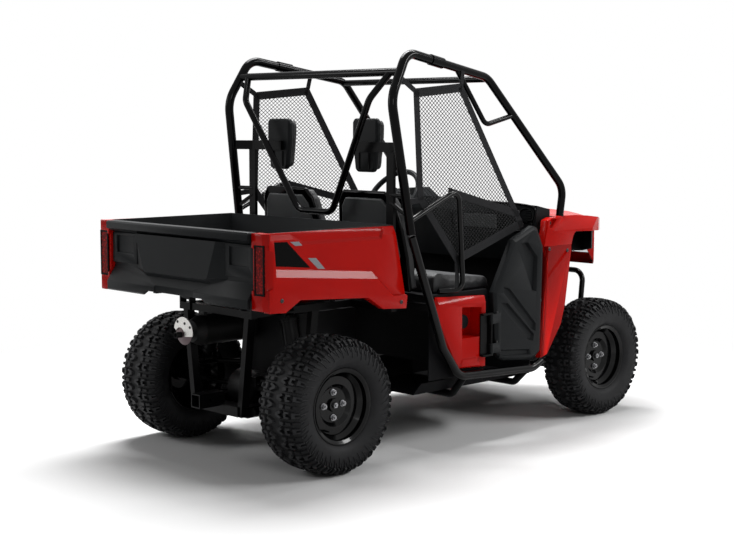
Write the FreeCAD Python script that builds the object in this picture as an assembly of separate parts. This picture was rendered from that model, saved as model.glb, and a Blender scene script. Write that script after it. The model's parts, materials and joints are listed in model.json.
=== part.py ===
import FreeCAD, Part
import math
import os

V = FreeCAD.Vector

# Two-seat utility side by side with a tilting cargo bed, in millimetres.
# Lengths ahead are measured from the rear axle, towards the nose (+X). The left side is +Y and up is +Z.
# The saved pieces are moved back so that the origin is under the middle of the whole vehicle.

# Stance
WHEELBASE = 1854.0
REAR_HALF_TRACK = 507.0
FRONT_HALF_TRACK = 522.0
TYRE_RADIUS = 300.0

# Gaps that every joint, seat and seam shares
SEAT_GAP = 0.3
SWING_GAP = 6.0
OVERRUN = 20.0
BEND_ROOM_SHARE = 0.48
LUG_NECK_SHARE = 0.8
EAR_SHARE = 0.9

# Tyres and rims
REAR_TYRE_WIDTH = 254.0
FRONT_TYRE_WIDTH = 203.0
RIM_SEAT_RADIUS = 152.0
RIM_LIP = 13.0
RIM_LIP_WIDTH = 7.0
RIM_WALL = 5.0
RIM_DROP = 24.0
TYRE_TO_RIM_WIDTH = 42.0
DISH_DEPTH = 46.0
DISC_WALL = 7.0
DISC_BOWL_RADIUS = 92.0
DISC_BOWL_DEPTH = 16.0
HUB_RADIUS = 38.0
HUB_LENGTH = 30.0
HUB_CAP_RADIUS = 27.0
HUB_CAP_HEIGHT = 12.0
SPINDLE_RADIUS = 16.0
SPINDLE_CLEARANCE = 0.08
SPINDLE_END_GAP = 6.0
LUG_HEIGHT = 15.0
TYRE_SHOULDER_WIDTH_SHARE = 0.76
TYRE_WALL_RADIUS_SHARE = 0.80

# Steering and suspension
KINGPIN_HALF_TRACK = 446.0
KINGPIN_LEAN_DEG = 6.0
BALL_JOINT_SPREAD = 156.0
BALL_JOINT_RADIUS = 17.0
KINGPIN_RADIUS = 8.0
KNUCKLE_WIDTH = 46.0
KNUCKLE_BOSS_RADIUS = 27.0
STEER_ARM_LENGTH = 96.0
STEER_ARM_INSET = 12.0
STEER_ARM_RISE = 42.0
STEER_ARM_RADIUS = 11.0
TIE_ROD_RADIUS = 8.0
TIE_ROD_GAP = 8.0
RACK_RADIUS = 11.0
RACK_HALF_LENGTH = 205.0
RACK_HOUSING_RADIUS = 21.0
RACK_HOUSING_HALF = 120.0
RACK_FOOT_HALF = 60.0
ARM_TUBE = 25.0
ARM_TIE_SHARE = 0.55
ARM_TIE_TUBE = 20.0
ARM_BUSH_RADIUS = 19.0
ARM_BUSH_LENGTH = 44.0
LOWER_ARM_INNER_DROP = 62.0
UPPER_ARM_INNER_RISE = 78.0
REAR_ARM_OUTER_HALF = 410.0
SHOCK_BODY_RADIUS = 22.0
SHOCK_ROD_RADIUS = 9.0
SHOCK_EYE_RADIUS = 19.0
SPRING_RADIUS = 38.0
SPRING_WIRE = 11.0
SHOCK_BODY_SHARE = 0.5
HALF_SHAFT_RADIUS = 12.0
CV_RADIUS = 33.0
CV_LENGTH = 74.0

# Chassis
RAIL_HALF = 165.0
RAIL_WIDTH = 46.0
RAIL_HEIGHT = 44.0
GROUND_CLEARANCE = 216.0
RAIL_REAR_BEHIND = 178.0
RAIL_FRONT_OVERHANG = 196.0
CROSS_TUBE = 34.0
SIDE_TUBE = 40.0
SIDE_HALF = 600.0
SIDE_TUBE_TOP_Z = 1000.0
SIDE_TUBE_TOP_AHEAD = 424.0
SIDE_TUBE_KNEE_AHEAD = 632.0
SIDE_TUBE_KNEE_Z = 480.0
ROCKER_REAR_AHEAD = 742.0
ROCKER_REAR_Z = 338.0
ROCKER_FRONT_AHEAD = 1272.0
ROCKER_FRONT_Z = 312.0
ROCKER_END_AHEAD = 1336.0
ROCKER_END_Z = 340.0
SIDE_TUBE_BEND = 90.0
POST_BEHIND = 184.0
POST_TOP_HALF = 219.0
POST_FOOT_HALF = 162.0
POST_TOP_Z = 664.0
POST_WIDTH = 40.0
POST_DEPTH = 30.0
PIVOT_PLATE = 6.0
DECK_RAIL_FRONT_AHEAD = 548.0
DECK_RAIL_TOP_Z = 690.0
DECK_RAIL = 32.0
TOWER_HALF = 236.0
TOWER_TOP_Z = 752.0
TOWER_TUBE = 30.0
HITCH_END_BEHIND = 318.0
HITCH_OUTER = 63.0
HITCH_BORE = 51.0
HITCH_Z = 280.0
HITCH_PIN_RADIUS = 8.0
HITCH_PIN_INSET = 62.0
SKID_THICKNESS = 5.0

# Roll cage, whose tube centres follow these places
CAGE_TUBE = 42.0
PILLAR_TUBE = 38.0
CAGE_BAR = 36.0
BRACE_TUBE = 31.0
HOOP_KINK_AHEAD = 330.0
HOOP_KINK_HALF = 565.0
HOOP_KINK_Z = 1604.0
HOOP_TOP_AHEAD = 448.0
HOOP_TOP_HALF = 541.0
HOOP_TOP_Z = 1807.0
CROSSBAR_SHARE = 0.575
HOOP_TOP_BEND = 165.0
HOOP_KINK_BEND = 230.0
COUPLER_AHEAD = 655.0
COUPLER_LENGTH = 86.0
COUPLER_WALL = 4.0
PILLAR_TOP_AHEAD = 1039.0
PILLAR_TOP_HALF = 493.0
PILLAR_TOP_Z = 1712.0
PILLAR_BASE_AHEAD = 1556.0
PILLAR_BASE_HALF = 548.0
PILLAR_BASE_Z = 1178.0
PILLAR_FOOT_AHEAD = 1542.0
PILLAR_FOOT_HALF = 534.0
PILLAR_FOOT_Z = 985.0
PILLAR_BEND = 110.0
BRACE_KINK_AHEAD = 328.0
BRACE_KINK_HALF = 430.0
BRACE_KINK_Z = 1603.0
BRACE_TOP_HALF = 492.0
BRACE_FOOT_AHEAD = 393.0
BRACE_FOOT_HALF = 116.0
BRACE_FOOT_Z = 1087.0
BRACE_BEND = 70.0
GRAB_TUBE = 24.0
GRAB_START_AHEAD = 800.0
GRAB_CORNER_AHEAD = 1010.0
GRAB_CORNER_Z = 1490.0
GRAB_END_AHEAD = 1210.0
HEAD_BAR_Z = 1391.0
HEAD_BAR_HEIGHT = 44.0
HEAD_BAR_THICKNESS = 16.0
HEAD_BAR_INNER_HALF = 262.0
SEAT_POST_HALF = 480.0
SEAT_POST_AHEAD = 415.0
SEAT_POST_WIDTH = 44.0
SEAT_POST_THICKNESS = 16.0
STRUT_TUBE = 20.0
GUARD_TUBE = 25.0
GUARD_HALF = 602.0
GUARD_CORNER_AHEAD = 727.0
GUARD_CORNER_Z = 1200.0
GUARD_START_Z = 1066.0
GUARD_FOOT_AHEAD = 776.0
GUARD_FOOT_HALF = 590.0
GUARD_BEND = 42.0
GUARD_BASE_AHEAD = 650.0

# Side nets
NET_THICKNESS = 4.0
NET_REAR_AHEAD = 487.0
NET_FRONT_AHEAD = 1262.0
NET_TOP_Z = 1672.0
NET_LOW_Z = 862.0
NET_HALF = 549.0
NET_LEAN_UP_SHARE = 0.0548
NET_LEAN_AHEAD_SHARE = 0.0640
NET_TAB_WIDTH = 26.0

# Cab floor, seats and dash
FLOOR_WALL = 6.0
FLOOR_REAR_AHEAD = 545.0
FLOOR_FRONT_AHEAD = 1370.0
FLOOR_HALF = 498.0
FLOOR_LIP_OUT = 50.0
FLOOR_LIP_RISE = 60.0
TOE_TOP_AHEAD = 1478.0
TOE_TOP_Z = 826.0
TUNNEL_HALF = 120.0
TUNNEL_RIDGE_SHARE = 0.8
TUNNEL_HEIGHT = 70.0
SEAT_BASE_REAR_AHEAD = 575.0
SEAT_BASE_FRONT_AHEAD = 985.0
SEAT_BASE_HALF = 566.0
SEAT_BASE_TOP_Z = 722.0
SEAT_BASE_WALL = 6.0
SEAT_BASE_RAKE = 34.0
CUSHION_REAR_AHEAD = 640.0
CUSHION_FRONT_AHEAD = 1030.0
CUSHION_REAR_Z = 822.0
CUSHION_FRONT_Z = 776.0
CUSHION_INNER_HALF = 30.0
CUSHION_OUTER_HALF = 534.0
CUSHION_ROUND = 20.0
SEAT_BACK_TOP_AHEAD = 432.0
SEAT_BACK_FOOT_AHEAD = 534.0
SEAT_BACK_TOP_THICKNESS = 76.0
SEAT_BACK_FOOT_THICKNESS = 100.0
SEAT_BACK_TOP_Z = 1192.0
SEAT_BACK_MIDDLE = 272.0
SEAT_BACK_HALF_WIDTH = 214.0
SEAT_BACK_SHARES = (
    (-0.95, 0.0), (0.95, 0.0), (1.0, 0.36), (0.97, 0.62), (0.84, 0.9), (0.66, 1.0), (-0.66, 1.0),
    (-0.84, 0.9), (-0.97, 0.62), (-1.0, 0.36),
)
HEADREST_MIDDLE = 300.0
HEADREST_WIDTH = 162.0
HEADREST_HEIGHT = 243.0
HEADREST_THICKNESS = 60.0
HEADREST_Z = 1398.0
HEADREST_ROUND = 16.0
DASH_HALF = 528.0
DASH_FACE_AHEAD = 1240.0
DASH_FRONT_AHEAD = 1480.0
DASH_TOP_Z = 1125.0
DASH_WALL = 8.0
DASH_SHARES = ((0.14, 0.0), (0.0, 0.80), (0.08, 1.0), (1.0, 0.92), (1.0, 0.0))
BINNACLE_HALF_WIDTH = 150.0
BINNACLE_OFFSET = 295.0
BINNACLE_HEIGHT = 42.0
BINNACLE_LENGTH = 150.0
BINNACLE_START_SHARE = 0.1
BINNACLE_FLAT_SHARE = 0.4
WHEEL_HUB_BACK = 35.0
WHEEL_HUB_SIDE = 295.0
WHEEL_HUB_Z = 1118.0
WHEEL_TILT_DEG = 38.0
STEERING_RADIUS = 172.0
STEERING_GRIP = 14.0
STEERING_HUB_RADIUS = 44.0
STEERING_HUB_HEIGHT = 34.0
STEERING_SPOKE = 24.0
SPOKE_TURNS = (0, 180, 270)
STEERING_SPOKE_THICKNESS = 7.0
COLUMN_RADIUS = 13.0
COLUMN_SHROUD_RADIUS = 34.0
COLUMN_SHROUD_START = 24.0
COLUMN_LENGTH = 300.0
JOINT_SHAFT_SHARE = 0.7

# Cargo bed
BED_REAR_BEHIND = 412.0
BED_FRONT_AHEAD = 398.0
BED_TOP_Z = 1055.0
BED_LOW_Z = 686.0
BED_HALF = 602.0
BED_SIDE_DEPTH = 36.0
BED_SIDE_WALL = 5.0
BED_FIELD_DEPTH = 13.0
BED_FIELD_SHARES = ((0.068, 0.523), (0.774, 0.39), (0.894, 0.165), (1.04, 0.152), (1.04, 1.07), (0.045, 1.07))
BED_FIELD_DRAFTS = (31.0, 9.0, 5.0, 0.0, 0.0, 4.0)
BED_BROW_DEPTH = 9.0
BED_BROW_SHARES = ((0.03, 0.925), (0.194, 0.92), (0.252, 0.854), (0.817, 0.846), (0.85, 1.07), (0.03, 1.07))
BED_BROW_DRAFTS = (22.0, 15.0, 14.0, 9.0, 0.0, 0.0)
BED_NICK_DEPTH = 8.0
BED_NICK_SHARES = ((0.83, 0.9), (0.96, 0.9), (0.99, 1.07), (0.81, 1.07))
BED_NICK_DRAFTS = (26.0, 9.0, 0.0, 9.0)
BED_SIDE_SHARES = (
    (0.022, 1.0), (0.915, 0.99), (1.0, 0.136), (0.991, 0.0), (0.816, 0.027), (0.705, 0.179), (0.227, 0.244),
    (0.127, 0.119), (0.022, 0.13),
)
TUB_FRONT_AHEAD = 343.0
TUB_REAR_BEHIND = 366.0
TUB_WALL = 7.0
TUB_FLOOR_Z = 776.0
GROOVE_WIDTH = 30.0
GROOVE_DEPTH = 3.0
GROOVE_COUNT = 11
CORNER_LENGTH = 46.0
CORNER_INNER_HALF = 511.0
CORNER_CHAMFER = 24.0
CORNER_LOW_Z = 741.0
COLUMN_REAR_BEHIND = 403.0
COLUMN_FRONT_BEHIND = 372.0
COLUMN_LOW_Z = 812.0
COLUMN_TOP_Z = 1004.0
COLUMN_SLOPE = 12.0
COLUMN_DRAW = 16.0
LAMP_INNER_HALF = 524.0
LAMP_WIDTH = 62.0
LAMP_DEPTH = 16.0
LAMP_PROUD = 5.0
LAMP_LOW_Z = 803.0
LAMP_TOP_Z = 1009.0
GATE_HALF = 505.0
GATE_REAR_BEHIND = 430.0
GATE_FRONT_BEHIND = 378.0
GATE_LOW_Z = 741.0
GATE_TOP_Z = 1057.0
GATE_RAIL_Z = 1024.0
GATE_RAIL_CHAMFER = 7.0
GATE_SKIN = 8.0
GATE_FIELD_TOP_Z = 1004.0
GATE_LEDGE_BACK_Z = 846.0
GATE_LEDGE_Z = 784.0
GATE_LIP = 15.0
GATE_HOLLOW_Z = 778.0
GATE_PAD_BASE = (
    (-335.0, 1006.0), (335.0, 1006.0), (335.0, 852.0), (250.0, 806.0), (-250.0, 806.0), (-335.0, 852.0),
)
GATE_PAD_FACE = (
    (-290.0, 1009.0), (290.0, 1009.0), (229.0, 852.0), (212.0, 844.0), (-212.0, 844.0), (-229.0, 852.0),
)
GATE_PAD_PROUD = 38.0
GATE_FRAME_PROUD = 9.0
GATE_FRAME_INNER = 318.0
GATE_FRAME_LOW_Z = 868.0
GATE_LATCH_INNER = 344.0
GATE_LATCH_OUTER = 472.0
GATE_LATCH_LOW_Z = 914.0
GATE_LATCH_TOP_Z = 992.0
GATE_NOTCH_HALF = 232.0
GATE_NOTCH_RISE = 20.0
GATE_NOTCH_SLOPE = 34.0
GATE_STEP_HALF = 140.0
GATE_STEP_DEPTH = 5.0
GATE_HINGE_BEHIND = 404.0
GATE_HINGE_Z = 754.0
GATE_HINGE_RADIUS = 5.0
GATE_BARREL_RADIUS = 10.0
GATE_BARREL_HALF = 24.0
GATE_BARREL_PLACE = 400.0
GATE_EAR = 6.0
BED_HINGE_BEHIND = 190.0
BED_HINGE_Z = 718.0
BED_HINGE_RADIUS = 10.0
BED_BARREL_RADIUS = 17.0
BED_BARREL_HALF = 30.0
BED_EAR = 8.0
BED_RAIL = 26.0
BED_RAIL_REAR_BEHIND = 370.0
BED_STOP_AHEAD = 300.0
BED_STOP_RADIUS = 12.0
PIN_CLEARANCE = 0.06

# Doors
DOOR_REAR_AHEAD = 978.0
DOOR_FRONT_AHEAD = 1345.0
DOOR_LOW_Z = 352.0
DOOR_TOP_Z = 1006.0
DOOR_OUTER_HALF = 606.0
DOOR_THICKNESS = 34.0
DOOR_SKIN = 6.0
DOOR_BEVEL = 9.0
DOOR_RIM = 18.0
DOOR_PRESS_DRAFT = 6.0
DOOR_WINDOW_DEPTH = 18.0
DOOR_WINDOW_SHARES = (
    (0.534, 0.885), (0.66, 0.884), (0.86, 0.77), (0.85, 0.51), (0.76, 0.523), (0.575, 0.728),
)
DOOR_SLOT_DEPTH = 11.0
DOOR_SLOT_SHARES = (
    ((0.195, 0.575), (0.3, 0.56), (0.842, 0.275), (0.842, 0.215), (0.752, 0.235), (0.188, 0.53)),
    ((0.163, 0.46), (0.26, 0.455), (0.809, 0.195), (0.793, 0.145), (0.69, 0.16), (0.163, 0.42)),
    ((0.142, 0.118), (0.717, 0.088), (0.736, 0.045), (0.142, 0.068)),
)
DOOR_SHARES = (
    (0.063, 0.1), (0.199, 0.035), (0.80, 0.0), (0.965, 0.06), (1.0, 0.841), (0.869, 0.983), (0.782, 1.0),
    (0.381, 0.912), (0.0, 0.542),
)
DOOR_HINGE_AHEAD = 954.0
DOOR_HINGE_PROUD = 4.0
DOOR_PIN_RADIUS = 5.0
DOOR_BARREL_RADIUS = 10.0
DOOR_BARREL_LENGTH = 46.0
DOOR_BARREL_LOW_Z = 420.0
DOOR_BARREL_TOP_Z = 560.0
DOOR_EAR = 8.0
DOOR_STRAP_THICKNESS = 6.0
DOOR_BRACKET_WIDTH = 44.0

# Outer panels
PANEL_WALL = 5.0
SIDE_PANEL_REAR_AHEAD = 571.0
SIDE_PANEL_FRONT_AHEAD = 934.0
SIDE_PANEL_LOW_Z = 357.0
SIDE_PANEL_TOP_Z = 712.0
SIDE_PANEL_OUTER_HALF = 594.0
SIDE_PANEL_SHARES = ((0.42, 0.04), (1.0, 0.0), (1.0, 0.955), (0.11, 1.0), (0.0, 0.834))
SIDE_PANEL_BEVEL = 13.0
SIDE_PANEL_DRAFTS = (6.0, 3.0, 30.0, 16.0, 15.0)
SIDE_PANEL_PRESS_SHARES = ((0.485, 0.045), (0.895, 0.03), (0.81, 0.155), (0.545, 0.16))
SIDE_PANEL_PRESS_PROUD = 5.0
SIDE_PANEL_PRESS_DRAFT = 5.0
FILLER_SHARES = ((0.54, 0.425), (0.909, 0.425), (0.909, 0.81), (0.54, 0.84))
FILLER_DEPTH = 66.0
FILLER_DRAFT = 4.0
FILLER_CAP_RADIUS = 32.0
FILLER_CAP_HEIGHT = 16.0
COWL_REAR_AHEAD = 1352.0
COWL_FRONT_AHEAD = 1570.0
COWL_LOW_Z = 350.0
COWL_SEAM_Z = 900.0
COWL_HALF = 600.0
COWL_DEPTH = 44.0
COWL_BEVEL = 14.0
COWL_DRAFTS = (5.0, 6.0, 6.0, 6.0, 6.0, 0.0, 30.0)
COWL_SHARES = ((0.0, 0.0), (0.18, 0.03), (0.66, 0.282), (0.807, 0.465), (1.0, 0.945), (1.0, 1.0), (0.0, 1.0))
FENDER_HALF = 600.0
FENDER_FRONT_AHEAD = 2110.0
FENDER_TOP_Z = 1046.0
FENDER_SIDE_SHARES = (
    (0.0, 0.0), (0.285, 0.0), (0.297, 0.25), (0.312, 0.36), (0.33, 0.43), (0.573, 0.385), (0.9, 0.27),
    (1.0, 0.2), (1.0, 0.62), (0.88, 0.69), (0.65, 0.83), (0.52, 0.91), (0.3, 1.0), (0.09, 0.97),
    (0.035, 0.86), (0.03, 0.6),
)
FENDER_PLAN_SHARES = (
    (0.175, 0.0), (1.0, 0.0), (0.87, 0.35), (0.64, 0.84), (0.51, 1.0), (0.0, 1.0), (0.0, 0.92), (0.175, 0.92),
)
FENDER_SECTION_SHARES = ((0.0, -0.8), (1.0, -0.8), (1.0, 0.5), (0.82, 0.96), (0.0, 1.0))
FENDER_SHOULDER_SHARES = (
    (0.0, 0.0), (0.095, 0.0), (0.095, 0.34), (0.115, 0.5), (0.18, 0.95), (0.09, 0.95), (0.035, 0.86),
    (0.03, 0.6),
)
FENDER_SHOULDER_DEPTH = 46.0
FENDER_POCKET_SHARES = ((0.05, 0.62), (0.075, 0.6), (0.125, 0.9), (0.06, 0.91))
FENDER_POCKET_DEPTH = 14.0
FENDER_POCKET_DRAFT = 4.0
LINER_WALL = 4.0
LINER_SIDE_SHARES = ((0.3, 0.2), (0.4, -0.3), (0.61, -0.45), (0.84, -0.5), (0.84, 0.55), (0.3, 0.6))
LINER_PLAN_SHARES = ((0.84, 0.0), (0.64, 0.7), (0.56, 0.86))
LINER_OUTER_LOW_SHARE = -0.2
HOOD_REAR_AHEAD = 1484.0
HOOD_FRONT_AHEAD = 2208.0
HOOD_HALF = 351.0
HOOD_TOP_Z = 1104.0
HOOD_LOW_Z = 745.0
HOOD_WALL = 6.0
HOOD_SIDE_SHARES = (
    (0.0, 0.74), (0.62, 0.6), (0.8, 0.1), (0.86, 0.0), (0.93, 0.0), (0.965, 0.11), (0.985, 0.63),
    (0.97, 0.725), (0.845, 0.817), (0.478, 0.94), (0.0, 1.0),
)
HOOD_OPEN_EDGES = 4
HOOD_CROWN_SHARES = (
    (-1.0, -1.5), (1.0, -1.5), (1.0, -0.14), (0.7, -0.09), (0.35, -0.018), (-0.35, -0.018), (-0.7, -0.09),
    (-1.0, -0.14),
)
HOOD_FALL = 86.0
HOOD_PLAN_SHARES = ((0.0, -1.0), (0.83, -1.0), (1.0, -0.7), (1.0, 0.7), (0.83, 1.0), (0.0, 1.0))
HEADLAMP_MIDDLE = 215.0
HEADLAMP_WIDTH = 120.0
HEADLAMP_LOW_Z = 800.0
HEADLAMP_TOP_Z = 880.0
HEADLAMP_DEPTH = 60.0
HEADLAMP_SUNK = 20.0
BUMPER_TUBE = 30.0
BUMPER_AHEAD = 2206.0
BUMPER_HALF = 190.0
BUMPER_TOP_Z = 690.0
BUMPER_LOW_Z = 420.0

# Driveline and exhaust
ENGINE_REAR_AHEAD = 110.0
ENGINE_FRONT_AHEAD = 520.0
ENGINE_TOP_Z = 636.0
GEARCASE_RADIUS = 82.0
GEARCASE_HALF = 74.0
FRONT_CASE_RADIUS = 66.0
PROP_RADIUS = 15.0
MUFFLER_RADIUS = 68.0
MUFFLER_LENGTH = 330.0
MUFFLER_END_BEHIND = 250.0
MUFFLER_SIDE = 114.0
MUFFLER_Z = 572.0
MUFFLER_CAP_LENGTH = 40.0
MUFFLER_CAP_SHARE = 0.72
TAILPIPE_RADIUS = 15.0
HANGER_WIDTH = 20.0
TAILPIPE_REACH = 18.0


# Places that follow from the sizes above
RAIL_TOP_Z = GROUND_CLEARANCE + RAIL_HEIGHT
RAIL_FRONT_AHEAD = WHEELBASE + RAIL_FRONT_OVERHANG
DOOR_HINGE_HALF = DOOR_OUTER_HALF + DOOR_HINGE_PROUD
WHEEL_HUB_AHEAD = DASH_FACE_AHEAD - WHEEL_HUB_BACK
DASH_LOW_Z = TOE_TOP_Z + SEAT_GAP
DECK_LOW_Z = DECK_RAIL_TOP_Z - DECK_RAIL
ARM_SPREAD = POST_BEHIND - POST_DEPTH / 2 - PIVOT_PLATE - SEAT_GAP - ARM_BUSH_LENGTH / 2
LOWER_INNER_HALF = RAIL_HALF + RAIL_WIDTH / 2 + ARM_BUSH_RADIUS + SEAT_GAP
LOWER_INNER_Z = TYRE_RADIUS - LOWER_ARM_INNER_DROP
UPPER_INNER_Z = TYRE_RADIUS + UPPER_ARM_INNER_RISE
TOWER_SLOPE = (TOWER_HALF - RAIL_HALF) / (TOWER_TOP_Z - RAIL_TOP_Z)
TOWER_HALF_AT_BUSH = RAIL_HALF + TOWER_SLOPE * (UPPER_INNER_Z - RAIL_TOP_Z)
UPPER_INNER_HALF = TOWER_HALF_AT_BUSH + (
    TOWER_TUBE / 2 + ARM_BUSH_RADIUS + SEAT_GAP
) / math.cos(math.atan(TOWER_SLOPE))
RACK_AHEAD = WHEELBASE - STEER_ARM_LENGTH
RACK_Z = TYRE_RADIUS + STEER_ARM_RISE
FENDER_INNER_HALF = HOOD_HALF + SEAT_GAP
TUB_SPAN = (BED_HALF - BED_SIDE_DEPTH - SEAT_GAP - TUB_WALL) * 2
BED_FLOOR_LAND_Y = TUB_SPAN / GROOVE_COUNT / 2

# The origin stands midway between the tailgate and the bumper
ORIGIN_AHEAD = (BUMPER_AHEAD + BUMPER_TUBE / 2 - GATE_REAR_BEHIND) / 2


def unit(vector):
    """The vector's direction, with the vector itself left as it is."""
    return V(vector).normalize()


def box(x_low, x_high, y_low, y_high, z_low, z_high):
    """A block between two corners."""
    return Part.makeBox(x_high - x_low, y_high - y_low, z_high - z_low, V(x_low, y_low, z_low))


def face_of(points):
    """A flat face inside a closed run of points."""
    return Part.Face(Part.makePolygon(list(points) + [points[0]]))


def slab_xz(outline, y_low, y_high):
    """A plate cut to an outline of (x, z) points, from y_low to y_high."""
    return face_of([V(x, y_low, z) for x, z in outline]).extrude(V(0, y_high - y_low, 0))


def slab_yz(outline, x_low, x_high):
    """A plate cut to an outline of (y, z) points, from x_low to x_high."""
    return face_of([V(x_low, y, z) for y, z in outline]).extrude(V(x_high - x_low, 0, 0))


def slab_xy(outline, z_low, z_high):
    """A plate cut to an outline of (x, y) points, from z_low to z_high."""
    return face_of([V(x, y, z_low) for x, y in outline]).extrude(V(0, 0, z_high - z_low))


def spread(shares, low, high):
    """Shares of a rectangle as points between its low and high corners."""
    return [(low[0] + (high[0] - low[0]) * a, low[1] + (high[1] - low[1]) * b) for a, b in shares]


def inset(outline, reaches):
    """The outline with each side moved inwards by its own reach."""
    after = outline[1:] + outline[:1]
    turn = math.copysign(1, sum(a[0] * b[1] - b[0] * a[1] for a, b in zip(outline, after)))
    lines = []
    for (ax, az), (bx, bz), reach in zip(outline, after, reaches):
        length = math.hypot(bx - ax, bz - az)
        across, up = (az - bz) / length * turn, (bx - ax) / length * turn
        lines.append((across, up, across * ax + up * az + reach))
    moved = []
    for (a, b, c), (d, e, f) in zip(lines[-1:] + lines[:-1], lines):
        cross = a * e - d * b
        moved.append(((c * e - f * b) / cross, (a * f - d * c) / cross))
    return moved


def frustum_xz(outline, y_base, y_face, reaches):
    """A block whose outline at y_base draws in by the reaches until y_face."""
    rings = []
    for points, y in ((outline, y_base), (inset(outline, reaches), y_face)):
        rings.append(Part.makePolygon([V(x, y, z) for x, z in points + points[:1]]))
    return Part.makeLoft(rings, True, True)


def moulded_xz(outline, inner, face, bevel, reaches, wall):
    """A hollow panel, open inboard, whose outer face is bevelled by its own reach along each side."""
    shoulder = face - bevel
    block = slab_xz(outline, inner, shoulder).fuse(frustum_xz(outline, shoulder, face, reaches))
    core_outline = inset(outline, [wall] * len(outline))
    core = slab_xz(core_outline, inner - OVERRUN, shoulder - wall)
    core = core.fuse(frustum_xz(core_outline, shoulder - wall, face - wall, reaches))
    return block.cut(core)


def pressed_xz(shell, outline, face, depth, draft, wall):
    """The panel with a sunk field in its face, which keeps the wall's thickness behind it."""
    count = len(outline)
    backing = slab_xz(inset(outline, [-wall] * count), face - depth - wall, face - wall / 2)
    tool = frustum_xz(outline, face, face - depth, [draft] * count)
    return joined([shell, backing]).cut(tool).cut(slab_xz(outline, face, face + OVERRUN))


def between(start, end, share):
    """The point a share of the way from start to end."""
    return start + (end - start) * share


def bent_wire(points, bend):
    """Straight runs through the points, with a tangent arc at each corner."""
    edges = []
    start = points[0]
    for before, corner, after in zip(points, points[1:], points[2:]):
        back = unit(before - corner)
        ahead = unit(after - corner)
        half = back.getAngle(ahead) / 2
        room = BEND_ROOM_SHARE * min((before - corner).Length, (after - corner).Length)
        reach = min(bend / math.tan(half), room)
        radius = reach * math.tan(half)
        middle = unit(back + ahead)
        centre = corner + middle * (radius / math.sin(half))
        first = corner + back * reach
        last = corner + ahead * reach
        edges.append(Part.makeLine(start, first))
        edges.append(Part.Arc(first, centre - middle * radius, last).toShape())
        start = last
    edges.append(Part.makeLine(start, points[-1]))
    return Part.Wire(edges)


def tube(points, diameter, bend=0):
    """A round bar along the points, bent round their corners."""
    along = unit(points[1] - points[0])
    if len(points) == 2:
        return Part.makeCylinder(diameter / 2, (points[1] - points[0]).Length, points[0], along)
    ring = Part.Wire([Part.makeCircle(diameter / 2, points[0], along)])
    return bent_wire(points, bend).makePipeShell([ring], True, False)


def cylinder(radius, start, end):
    """A round bar from start to end."""
    return Part.makeCylinder(radius, (end - start).Length, start, unit(end - start))


def bar(start, end, width, thickness):
    """A flat bar from start to end, its width as upright as it can be and its thickness across."""
    along = unit(end - start)
    level = V(0, 0, 1).cross(along)
    across = unit(level) if level.Length > 1e-6 else V(0, 1, 0)
    upright = unit(along.cross(across))
    a = across * (thickness / 2)
    b = upright * (width / 2)
    return face_of([start - a - b, start + a - b, start + a + b, start - a + b]).extrude(end - start)


def joined(shapes):
    """One solid made of overlapping shapes, its seams merged wherever that leaves it sound."""
    whole = shapes[0].multiFuse(shapes[1:])
    merged = whole.removeSplitter()
    return merged if merged.isValid() else whole


def mirrored(shape):
    """The same piece on the other side of the vehicle."""
    return shape.mirror(V(0, 0, 0), V(0, 1, 0))


def both_sides(shape):
    """A piece and its mirror image."""
    return [shape, mirrored(shape)]


def spun(profile, centre, side=1):
    """A ring turned about the wheel's axis through centre, from (radius, outboard) points."""
    points = [V(centre.x, centre.y + side * out, centre.z + radius) for radius, out in profile]
    ring = face_of(points).revolve(centre, V(0, 1, 0), 360)
    return ring if ring.Volume > 0 else Part.Solid(ring.Shells[0].reversed())


def save(name, *shapes):
    """Writes the shapes' solids as one named piece, with the origin under the vehicle's middle."""
    solids = [s for shape in shapes for s in (shape.Solids if shape.Solids else [])]
    whole = Part.makeCompound(solids)
    whole.translate(V(-ORIGIN_AHEAD, 0, 0))
    whole.exportStep("parts/" + name + ".step")
    NODES[name] = whole


NODES = {}


def rear_wheel_centre(side):
    """Where a rear wheel turns."""
    return V(0, side * REAR_HALF_TRACK, TYRE_RADIUS)


def front_wheel_centre(side):
    """Where a front wheel turns."""
    return V(WHEELBASE, side * FRONT_HALF_TRACK, TYRE_RADIUS)


def rim_half(tyre_width):
    """Half the width of the rim that carries a tyre of this width."""
    return (tyre_width - TYRE_TO_RIM_WIDTH) / 2 - RIM_LIP_WIDTH / 2


def tyre(centre, width):
    """A tyre out to the tips of its lugs."""
    half = width / 2
    shoulder = half * TYRE_SHOULDER_WIDTH_SHARE
    bead = rim_half(width) - RIM_LIP_WIDTH - SEAT_GAP
    inner = RIM_SEAT_RADIUS + SEAT_GAP
    wall = TYRE_RADIUS * TYRE_WALL_RADIUS_SHARE
    crown = TYRE_RADIUS
    outline = [
        (inner, -bead), (inner + RIM_LIP, -bead), (wall, -half), (crown - LUG_HEIGHT, -half + LUG_HEIGHT),
        (crown, -shoulder),
    ]
    profile = outline + [(radius, -out) for radius, out in reversed(outline)]
    return spun(profile, centre)


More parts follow.
